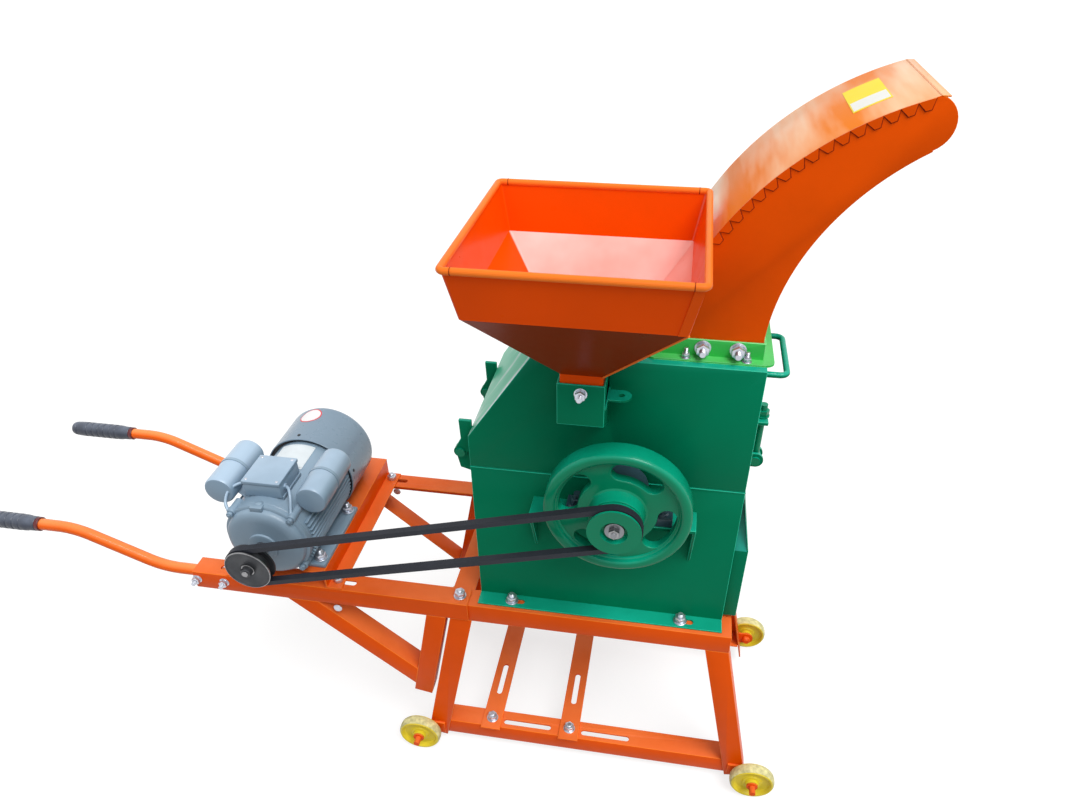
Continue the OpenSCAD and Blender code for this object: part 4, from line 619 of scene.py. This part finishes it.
def buildLeads():
    bm = bmesh.new()
    for side in ("left", "right"):
        line = [(motor["x"] + p[0], p[1], motor["z"] + p[2]) for p in leads[side]]
        addPath(bm, smoothPath(line, 6), leads["r"], 12)
    putPiece("capacitorLeads", bm, "frame", "capGrey")


# Flat sheet in (x, y) millimetres laid on a cylinder along Y
def wrap(verts, centre, radius, turn, y):
    for vert in verts:
        a, out = math.radians(turn) - vert.co.x / radius, radius + vert.co.z
        vert.co = at(centre[0] + out * math.cos(a), y + vert.co.y, centre[1] + out * math.sin(a))


def addSheet(bm, low, high, thick, lift, centre, radius, turn, y, material=0, steps=10):
    verts = bmesh.ops.create_grid(bm, x_segments=steps, y_segments=2, size=0.5)["verts"]
    for vert in verts:
        vert.co = [low[k] + (vert.co[k] + 0.5) * (high[k] - low[k]) for k in (0, 1)] + [lift]
    fresh = onlyVerts(bmesh.ops.extrude_face_region(bm, geom=list(facesOf(verts)), use_keep_orig=True)["geom"])
    bmesh.ops.translate(bm, verts=fresh, vec=(0, 0, thick))
    verts = list(set(verts) | set(fresh))
    paint(facesOf(verts), material)
    wrap(verts, centre, radius, turn, y)


plates = {"name": (-40, 27, 68, 134), "rivet": [(0, 0), (1.8, 0), (1.4, 0.8), (0, 1.1)],
          "sticker": {"r": 22, "y": 219, "turn": 102, "rings": (0, 0.25, 0.5, 0.72, 0.88, 1.0), "border": 2.4}}


def buildPlates():
    bm = bmesh.new()
    x0, x1, y0, y1 = plates["name"]
    spot = (motor["x"], motor["z"])
    addSheet(bm, (x0, y0), (x1, y1), 0.9, 0.1, spot, motor["r"], 90, 0)
    for x in (x0 + 4, x1 - 4):
        for y in (y0 + 4, y1 - 4):
            a, out = x / motor["r"], motor["r"] + 1
            foot = (motor["x"] + out * math.sin(a), y, motor["z"] + out * math.cos(a))
            addTurned(bm, plates["rivet"], foot, (math.sin(a), 0, math.cos(a)), 14)
    putPiece("motorPlate", bm, "frame", "plate")
    bm = bmesh.new()
    sticker = plates["sticker"]
    for lift, material, size in ((0.2, 1, sticker["r"]), (0.4, 0, sticker["r"] - sticker["border"])):
        before = set(bm.verts)
        profile = [(k * size, lift) for k in sticker["rings"]] + [(size, 0), (0, 0)]
        addTurned(bm, profile, tuple(zero), alongZ, 40, material)
        fresh = [v for v in bm.verts if v not in before]
        for vert in fresh:
            vert.co = vert.co * 1000
        wrap(fresh, spot, cover["r"], sticker["turn"], sticker["y"])
    putPiece("roundSticker", bm, "frame", ["sticker", "stickerRing"])


motorPulley = {
    "y": -121, "face": [(0, 3), (12, 3), (13, 2), (14, 1.4), (36.8, 1.2), (37.6, 0.2), (39.4, 0), (40, 0.6), (40, 3.4)],
    "groove": [(32.2, 4.7), (32.2, 17.3), (40, 18.6), (40, 21.4), (39.4, 22), (24, 22)],
    "hub": [(24, 31.5), (23.5, 32), (12.1, 32), (12.1, 8), (0, 8)],
    "wearAndHighlightEdge": [(38.7, 0.1), (39.4, -0.05), (40.05, 0.6), (40.05, 2), (39.6, 2), (38.7, 0.6)],
}


def buildMotorPulley():
    bm = bmesh.new()
    place = motorSpot(motorPulley["y"])
    addTurned(bm, motorPulley["face"] + motorPulley["groove"] + motorPulley["hub"], place, alongY, 72)
    addTurned(bm, motorPulley["wearAndHighlightEdge"], place, alongY, 72, material=1)
    addNut(bm, motorSpot(motorPulley["y"] + 3), (0, -1, 0), 10, stud=0.3, spring=False, material=1)
    putPiece("motorPulley", bm, "motor_turning", ["darkIron", "steel"], ("motor_pulley",))


buildCasing()
buildShield()
buildFanCover()
buildTerminalBox()
buildCapacitor("capacitorLeft", "capacitor_left", -1)
buildCapacitor("capacitorRight", "capacitor_right", 1)
buildLeads()
buildPlates()
buildMotorPulley()
finishNodes("core", "motor_stator")
finishNodes("steel", "motor_rotor")
finishNodes("black", "motor_fan")
finishNodes("rubber", "drive_belt")
print("motor done")


# The lower housing's rim, with a painted highlight line along it where the hood sits on it
splitEdge = {"z": 718, "half": 215, "depth": 264, "out": 0.7, "high": 1.4, "hole": 25}


def addSplitEdge(bm):
    h, d, o, z = splitEdge["half"], splitEdge["depth"], splitEdge["out"], splitEdge["z"]
    left, right = shaft["x"] - splitEdge["hole"], shaft["x"] + splitEdge["hole"]
    for low, high in (((-h - o, -o, 0), (left, 1, 0)), ((right, -o, 0), (h + o, 1, 0)),
                      ((-h - o, d - 1, 0), (left, d + o, 0)), ((right, d - 1, 0), (h + o, d + o, 0)),
                      ((-h - o, -o, 0), (1 - h, d + o, 0)), ((h - 1, -o, 0), (h + o, d + o, 0))):
        addBlock(bm, (low[0], low[1], z - splitEdge["high"]), (high[0], high[1], z), bevel=0.3, material=1)


softCopy("lower_housing", "lowerHousing", ["green", "greenEdge"], width=0.7, more=addSplitEdge)
# The outlet cover's sloping face takes a lighter teal copy of the green, painted light
softCopy("outlet_hood", "outletCover", ["green", "greenEdge", "greenSlope"], width=0.8,
         more=turnedTo((0, -0.954, 0.3), 0.985))
softCopy("bearing_brackets", "bearingBrackets", ["green", "greenEdge"], width=0.9)
softCopy("shaft_bearings", "shaftBearings", "bearing", width=1.6, segments=3)

flywheel = {"r": 110.5, "rim": 94.5, "front": -84, "back": -48, "web": (-74, -58), "hub": 41, "hubFront": -97.5,
            "bore": 15.3, "window": (60, 88.5), "half": 20, "first": 68}


# Closed row of (radius, angle) points round the shaft
def addOutline(bm, points, y):
    verts = []
    for r, degrees in points:
        a = math.radians(degrees)
        verts.append(bm.verts.new(at(shaft["x"] + r * math.cos(a), y, shaft["z"] + r * math.sin(a))))
    return closeLoop(bm, verts)


# Slot with round ends, bent round the shaft
def windowPoints(middle):
    low, high = flywheel["window"]
    half, mid, end = flywheel["half"], (low + high) / 2, (high - low) / 2
    points = [(high, middle - half + half * k / 8) for k in range(17)]
    for side, start in ((1, 0), (-1, 180)):
        if side < 0:
            points += [(low, middle + half - half * k / 8) for k in range(17)]
        for k in range(1, 12):
            turn = math.radians(start + 15 * k)
            along, across = mid + end * math.cos(turn), end * math.sin(turn)
            points.append((math.hypot(along, across), middle + side * half + math.degrees(math.atan2(across, along))))
    return points


def buildFlywheel():
    bm = bmesh.new()
    f = flywheel
    low, high = f["web"]
    edges = addOutline(bm, [(f["rim"] - 1, 3 * k) for k in range(120)], low)
    edges += addOutline(bm, [(f["hub"] - 1, 6 * k) for k in range(60)], low)
    for k in range(4):
        edges += addOutline(bm, windowPoints(f["first"] + 90 * k), low)
    web = [item for item in bmesh.ops.triangle_fill(bm, use_beauty=True, edges=edges)["geom"]
           if isinstance(item, bmesh.types.BMFace)]
    made = bmesh.ops.extrude_face_region(bm, geom=web, use_keep_orig=True)["geom"]
    bmesh.ops.translate(bm, verts=onlyVerts(made), vec=(0, mm(high - low), 0))
    spot = (shaft["x"], 0, shaft["z"])
    corners = []
    for edge in bm.edges:
        middle = (edge.verts[0].co + edge.verts[1].co) / 2 - at(*spot)
        within = mm(f["hub"] + 6) < math.hypot(middle.x, middle.z) < mm(f["rim"] - 4)
        if within and len(edge.link_faces) == 2 and edge.calc_face_angle(0) > 1:
            corners.append(edge)
    bmesh.ops.recalc_face_normals(bm, faces=bm.faces)
    roundEdges(bm, corners, 1.8, 3, clamp=False)
    r, rim, hub, bore, a, b, c = f["r"], f["rim"], f["hub"], f["bore"], f["front"], f["back"], f["hubFront"]
    addTurned(bm, [(rim - 5, low + 1), (rim - 4, low - 1.2), (rim - 1.6, a + 7), (rim - 0.6, a + 3.6),
                   (rim + 1.2, a + 1.2), (rim + 4, a), (r - 6.4, a), (r - 3.2, a + 0.9), (r - 0.9, a + 3.2),
                   (r, a + 7), (r, b - 3.4), (r - 1, b - 1), (r - 3.4, b), (rim + 1.6, b), (rim - 0.4, b - 2),
                   (rim - 4, high + 1.2), (rim - 5, high - 1)], spot, alongY, 120)
    addTurned(bm, [(bore, c), (hub - 3, c), (hub - 0.9, c + 0.9), (hub, c + 3), (hub, low - 5),
                   (hub + 1.5, low - 1.5), (hub + 5, low + 0.4), (hub + 5, high - 0.4), (hub + 1, high + 3),
                   (hub, b), (bore, b)], spot, alongY, 72)
    putPiece("flyWheel", bm, "rotor", "castGreen", ("flywheel",))


buildFlywheel()
softCopy("main_pulley", "mainPulley", "castGreen", width=0.7, body="rotor")

mainShaft = {
    "body": [(0, -115), (14.2, -115), (15, -114.2), (15, -47), (16.7, -47), (17.5, -46.2), (17.5, 307), (15, 307),
             (15, 320), (14, 321), (0, 321)],
    "washer": [(0, -117), (14.2, -117), (14.8, -116.6), (14.8, -114.8), (14.2, -114.3), (0, -114.3)],
    "end": -117,
}


def buildMainShaft():
    bm = bmesh.new()
    spot = (shaft["x"], 0, shaft["z"])
    addTurned(bm, mainShaft["body"], spot, alongY, 56)
    addTurned(bm, mainShaft["washer"], spot, alongY, 40, material=1)
    foot = (shaft["x"], mainShaft["end"], shaft["z"])
    addNut(bm, foot, (0, -1, 0), 9, stud=0.18, washer=False, spring=False, material=1)
    putPiece("mainShaft", bm, "rotor", ["steel", "hardSteel"], ("main_shaft",))


buildMainShaft()
softCopy("feed_trough", "feedTrough", ["orange", "orangeEdge"], width=0.7)
finishNodes("steel", "screen", "knife_disc", "hammer_disc", "hammer_pins")
finishNodes("hardSteel", "shear_bar", "knives", "hammers_low", "hammers_high")
finishNodes("castGreen", "hinge_pins", "latch_bolt")
print("housing done")


# The hood and what it carries
for node, name, finish, slot, width in (
        ("hood", "hoodShell", "green", "green_paint", 0.9), ("grain_box", "grainBox", "green", "green_paint", 0.9),
        ("chute_collar", "chuteCollar", "lightGreen", "light_green_paint", 0.9),
        ("slide_gate", "slideGate", "green", "green_paint", 0.5)):
    # The hood's slanted face takes a lighter green with a painted white reflection streak, and rounded edges a painted
    # edge highlight
    softCopy(node, name, [finish, finish + "Edge", "greenSlantHighlight"], width=width,
             more=turnedTo((-0.71, 0, 0.71), 0.95) if node == "hood" else None,
             body="grain_gate" if node == "slide_gate" else "opening_hood")
# The chute's top faces take a lighter copy of its paint, a painted highlight, and its rounded edges a painted edge
# highlight
softCopy("discharge_chute", "dischargeChute", ["chuteSheet", "orangeEdge", "chuteTop"], width=0.7,
         body="opening_hood", angle=50, more=turnedTo((-0.6, 0, 0.8), 0.8))

hopper = {"middle": (-30.6, -28), "neck": (-32, -29.5), "rim": 4.5, "sheet": 2, "heights": (1130, 1065, 938, 900),
          "rings": [(290, 304, 6.5), (264, 278, 5), (59.4, 58.4, 3), (59.4, 58.4, 3)], "wire": (29.7, 29.2, 1.6)}


# Points of a rectangle with round corners, size being its width, depth and corner radius
def cornered(middle, size, steps):
    wide, deep, r = size
    points = []
    for sx, sy, start in ((1, 1, 0), (-1, 1, 90), (-1, -1, 180), (1, -1, 270)):
        x, y = middle[0] + sx * (wide / 2 - r), middle[1] + sy * (deep / 2 - r)
        for k in range(steps + 1):
            a = math.radians(start + 90 * k / steps)
            points.append((x + r * math.cos(a), y + r * math.sin(a)))
    return points


def buildHopper():
    bm = bmesh.new()
    rings = []
    (middleX, middleY), neck = hopper["middle"], hopper["neck"]
    for size, z, middle in zip(hopper["rings"], hopper["heights"], 2 * (hopper["middle"],) + 2 * (neck,)):
        rings.append(closeLoop(bm, [bm.verts.new(at(x, y, z)) for x, y in cornered(middle, size, 5)]))
    for one, two in zip(rings, rings[1:]):
        bmesh.ops.bridge_loops(bm, edges=one + two)
    bmesh.ops.recalc_face_normals(bm, faces=bm.faces)
    probe = max(bm.faces, key=lambda f: f.calc_center_median().x)
    if probe.normal.x < 0:
        bmesh.ops.reverse_faces(bm, faces=bm.faces)
    bmesh.ops.solidify(bm, geom=list(bm.faces), thickness=mm(hopper["sheet"]))
    top, fold, cone = hopper["heights"][:3]
    rim, wide, deep = hopper["rim"], *hopper["rings"][0][:2]
    line = [(x, y, top) for x, y in cornered(hopper["middle"], hopper["rings"][0], 6)]
    first = (line[-1][0], (line[-1][1] + line[0][1]) / 2, top)
    addPath(bm, [first] + line + [first], rim, 16, material=1)
    for sx, sy in ((1, 1), (1, -1), (-1, 1), (-1, -1)):
        spot = (middleX + sx * (wide / 2 - 14), middleY + sy * deep / 2, top)
        addTurned(bm, [(0, 0), (rim + 0.25, 0), (rim + 0.25, 1), (0, 1)], spot, (sx, 0, 0), 24, 2)
    foldWide, foldDeep = hopper["rings"][1][:2]
    wireX, wireY, thick = hopper["wire"]
    for way in (1, -1):
        x0, x1 = middleX + way * wide / 2, middleX + way * foldWide / 2
        y0, y1 = middleY - way * deep / 2, middleY - way * foldDeep / 2
        made = bmesh.ops.create_cube(bm, size=1.0)["verts"]
        for vert in made:
            high, right, out = vert.co.z > 0, vert.co.x > 0, vert.co.y > 0
            x, y, z = (x0, y0, top - 4) if high else (x1, y1, fold)
            vert.co = at(x - way * (2 if right else 13), y - way * (1.3 if out else -0.5), z)
        paint(facesOf(made), 3)
        addRod(bm, (x1 - way, y1 + way, fold), (neck[0] + way * wireX, neck[1] - way * wireY, cone), thick, 10, 1)
    putPiece("hopperShell", bm, "opening_hood", ["orangeSheet", "orangeEdge", "seam", "orange"],
             ("hopper",), sharp=20)


liftHandle = {"x": 215.2, "z": 915, "y": (22, 136), "out": 30, "bend": 10, "r": 4.4}


def buildLiftHandle():
    bm = bmesh.new()
    x, z, (y0, y1), r = liftHandle["x"], liftHandle["z"], liftHandle["y"], liftHandle["bend"]
    out = x + liftHandle["out"] - r
    turns = [math.radians(t) for t in range(0, 91, 15)]
    line = [(out + r * math.sin(t), y0 + r - r * math.cos(t), z) for t in turns]
    line += [(out + r * math.cos(t), y1 - r + r * math.sin(t), z) for t in turns]
    addPath(bm, [(x, y0, z)] + line + [(x, y1, z)], liftHandle["r"], 16)
    putPiece("liftHandle", bm, "opening_hood", "green", ("lift_handle",))


buildHopper()
buildLiftHandle()

chute = {"outer": (467, 888, 406), "y": (30, 234), "tabs": 16, "from": 149.2, "to": 107.7, "deep": 11, "thick": 1.5,
         "tab": ((0, 0), (0.5, 0), (1, 0), (0.68, 1), (0.34, 1)), "mouth": ((348, 1275.1), (359, 1276.9))}
label = {"turn": 115.9, "half": 22.5, "y": (83, 186), "panel": (88, 124), "border": 1.5}


# Folded tab at the chute's edge, or with grow 1 the painted shadow line round it, a dark strip where the tab's shadow
# falls
def addTab(bm, first, step, y, way, grow, thick, material):
    cx, cz, r = chute["outer"]
    ring = []
    for t, depth in chute["tab"]:
        wider = grow * 0.05 * ((t > 0.5) - (t < 0.5))
        a, out = math.radians(first + step * (t + wider)), r - 0.3 - depth * (chute["deep"] + grow)
        ring.append(bm.verts.new(at(cx + out * math.cos(a), y, cz + out * math.sin(a))))
    verts = onlyVerts(bmesh.ops.extrude_face_region(bm, geom=[bm.faces.new(ring)], use_keep_orig=True)["geom"])
    bmesh.ops.translate(bm, verts=verts, vec=(0, way * mm(thick), 0))
    paint(facesOf(verts), material)


def buildChuteTabs():
    bm = bmesh.new()
    step = (chute["to"] - chute["from"]) / chute["tabs"]
    for y, way in zip(chute["y"], (-1, 1)):
        for k in range(chute["tabs"]):
            addTab(bm, chute["from"] + k * step, step, y, way, 0, chute["thick"], 0)
            addTab(bm, chute["from"] + k * step, step, y, way, 1.0, 0.5, 1)
    # The chute's mouth end takes the lighter top paint, a painted highlight
    (x0, z0), (x1, z1) = chute["mouth"]
    addBlock(bm, (x0, chute["y"][0], z0), (x1, chute["y"][1], z1), bevel=0.6, material=2)
    putPiece("chuteTabs", bm, "opening_hood", ["chuteSheet", "seam", "chuteTop"])
    bm = bmesh.new()
    cx, cz, r = chute["outer"]
    for material, y, half, thick, lift in ((0, label["y"], label["half"], 0.3, 0.05),
                                           (1, label["panel"], label["half"] - label["border"], 0.2, 0.25)):
        addSheet(bm, (-half, y[0]), (half, y[1]), thick, lift, (cx, cz), r, label["turn"], 0, material, 12)
    putPiece("blankLabel", bm, "opening_hood", ["labelYellow", "labelWhite"])


buildChuteTabs()

hoodBolts = {"flange": {"x": (126, 174), "y": (26.7, 237.3), "z": 946.5, "plates": 5.3},
             "seat": {"x": (103.7, 187.3), "y": 19, "z": 934}, "gate": (-32, -62, 911),
             "neck": {"x": -32, "out": 29.7, "y": -29.5, "z": 931.5}}


def buildHoodBolts():
    bm = bmesh.new()
    flange, seat, neck = hoodBolts["flange"], hoodBolts["seat"], hoodBolts["neck"]
    for x in flange["x"]:
        for y, way in zip(flange["y"], (-1, 1)):
            addNut(bm, (x, y, flange["z"]), (0, way, 0), 10, stud=1.0)
            behind = (x, y - way * flange["plates"], flange["z"])
            addNut(bm, behind, (0, -way, 0), 10, stud=0, washer=False, spring=False)
    for x in seat["x"]:
        addNut(bm, (x, seat["y"], seat["z"]), alongZ, 6, stud=1.3)
    addNut(bm, hoodBolts["gate"], (0, -1, 0), 8, stud=1.2)
    for side in (-1, 1):
        addNut(bm, (neck["x"] + side * neck["out"], neck["y"], neck["z"]), (side, 0, 0), 5, stud=0.8)
    putPiece("hoodBolts", bm, "opening_hood", "zinc", ("hood_bolts",))


buildHoodBolts()
print("hood done")


# One for rays that the camera or a reflection sees, zero for light that floor and sky cast
def seenRays(tree):
    path = addNode(tree, "ShaderNodeLightPath").outputs
    straight = {0: path["Is Camera Ray"], 1: path["Is Glossy Ray"]}
    first = addNode(tree, "ShaderNodeMath", feeds=straight, operation="MAXIMUM").outputs[0]
    either = {0: first, 1: path["Is Transmission Ray"]}
    return addNode(tree, "ShaderNodeMath", feeds=either, operation="MAXIMUM").outputs[0]


def buildStage():
    bm = bmesh.new()
    bmesh.ops.create_grid(bm, x_segments=1, y_segments=1, size=30)
    mesh = bpy.data.meshes.new("floor")
    bm.to_mesh(mesh)
    bm.free()
    made = bpy.data.objects.new("floor", mesh)
    bpy.context.scene.collection.objects.link(made)
    mat = bpy.data.materials.new("paleFloor")
    mat.use_nodes = True
    tree = mat.node_tree
    tree.nodes.remove(tree.nodes["Principled BSDF"])
    matte = addNode(tree, "ShaderNodeBsdfDiffuse", {"Color": (0.34, 0.34, 0.34, 1)}).outputs[0]
    glow = addNode(tree, "ShaderNodeEmission", {"Color": (1, 1, 1, 1), "Strength": 0.72}).outputs[0]
    both = addNode(tree, "ShaderNodeAddShader", feeds={0: matte, 1: glow}).outputs[0]
    dull = addNode(tree, "ShaderNodeBsdfDiffuse", {"Color": (0.3, 0.3, 0.3, 1)}).outputs[0]
    pick = addNode(tree, "ShaderNodeMixShader", feeds={"Fac": seenRays(tree), 1: dull, 2: both}).outputs[0]
    tree.links.new(pick, tree.nodes["Material Output"].inputs["Surface"])
    mesh.materials.append(mat)


def buildLight():
    world = bpy.data.worlds.new("softSky")
    bpy.context.scene.world = world
    world.use_nodes = True
    tree = world.node_tree
    back = tree.nodes["Background"].inputs
    coords = addNode(tree, "ShaderNodeTexCoord").outputs
    height = addNode(tree, "ShaderNodeSeparateXYZ", feeds={0: coords["Generated"]}).outputs["Z"]
    rise = addNode(tree, "ShaderNodeMapRange", {"From Min": -0.25, "From Max": 0.9, "To Min": 0.22, "To Max": 0.86},
                   {"Value": height}).outputs["Result"]
    seen = addNode(tree, "ShaderNodeMix", {"B": 1.0}, {"Factor": seenRays(tree), "A": rise}, data_type="FLOAT")
    tree.links.new(seen.outputs["Result"], back["Strength"])
    back["Color"].default_value = (1, 1, 1, 1)
    lamp = bpy.data.lights.new("softSun", "SUN")
    lamp.energy = 2.0
    lamp.angle = math.radians(34)
    made = bpy.data.objects.new("softSun", lamp)
    made.rotation_euler = Vector((-0.42, 0.4, -1.0)).to_track_quat("-Z", "Y").to_euler()
    bpy.context.scene.collection.objects.link(made)


view = {"place": (79.852, -942.292, 1478.2), "down": 0.647, "roll": 0.009, "heading": -0.171,
        "focal": 777.148, "px": 551.839, "py": 454.936, "wide": 1080, "high": 810}


def buildCamera():
    down, roll, heading = view["down"], view["roll"], view["heading"]
    ahead = Vector((math.sin(heading) * math.cos(down), math.cos(heading) * math.cos(down), -math.sin(down)))
    right = Vector((math.cos(heading), -math.sin(heading), 0))
    below = ahead.cross(right)
    side = right * math.cos(roll) + below * math.sin(roll)
    under = below * math.cos(roll) - right * math.sin(roll)
    lens = bpy.data.cameras.new("photoCamera")
    lens.sensor_fit = "HORIZONTAL"
    lens.sensor_width = 36
    lens.lens = 36 * view["focal"] / view["wide"]
    lens.shift_x = (view["wide"] / 2 - view["px"]) / view["wide"]
    lens.shift_y = (view["py"] - view["high"] / 2) / view["wide"]
    lens.clip_end = 100
    made = bpy.data.objects.new("photoCamera", lens)
    turn = Matrix((side, -under, -ahead)).transposed()
    made.matrix_world = Matrix.Translation(at(*view["place"])) @ turn.to_4x4()
    bpy.context.scene.collection.objects.link(made)
    bpy.context.scene.camera = made


buildStage()
buildLight()
buildCamera()
bpy.context.scene.view_settings.view_transform = "Standard"
print("stage done")
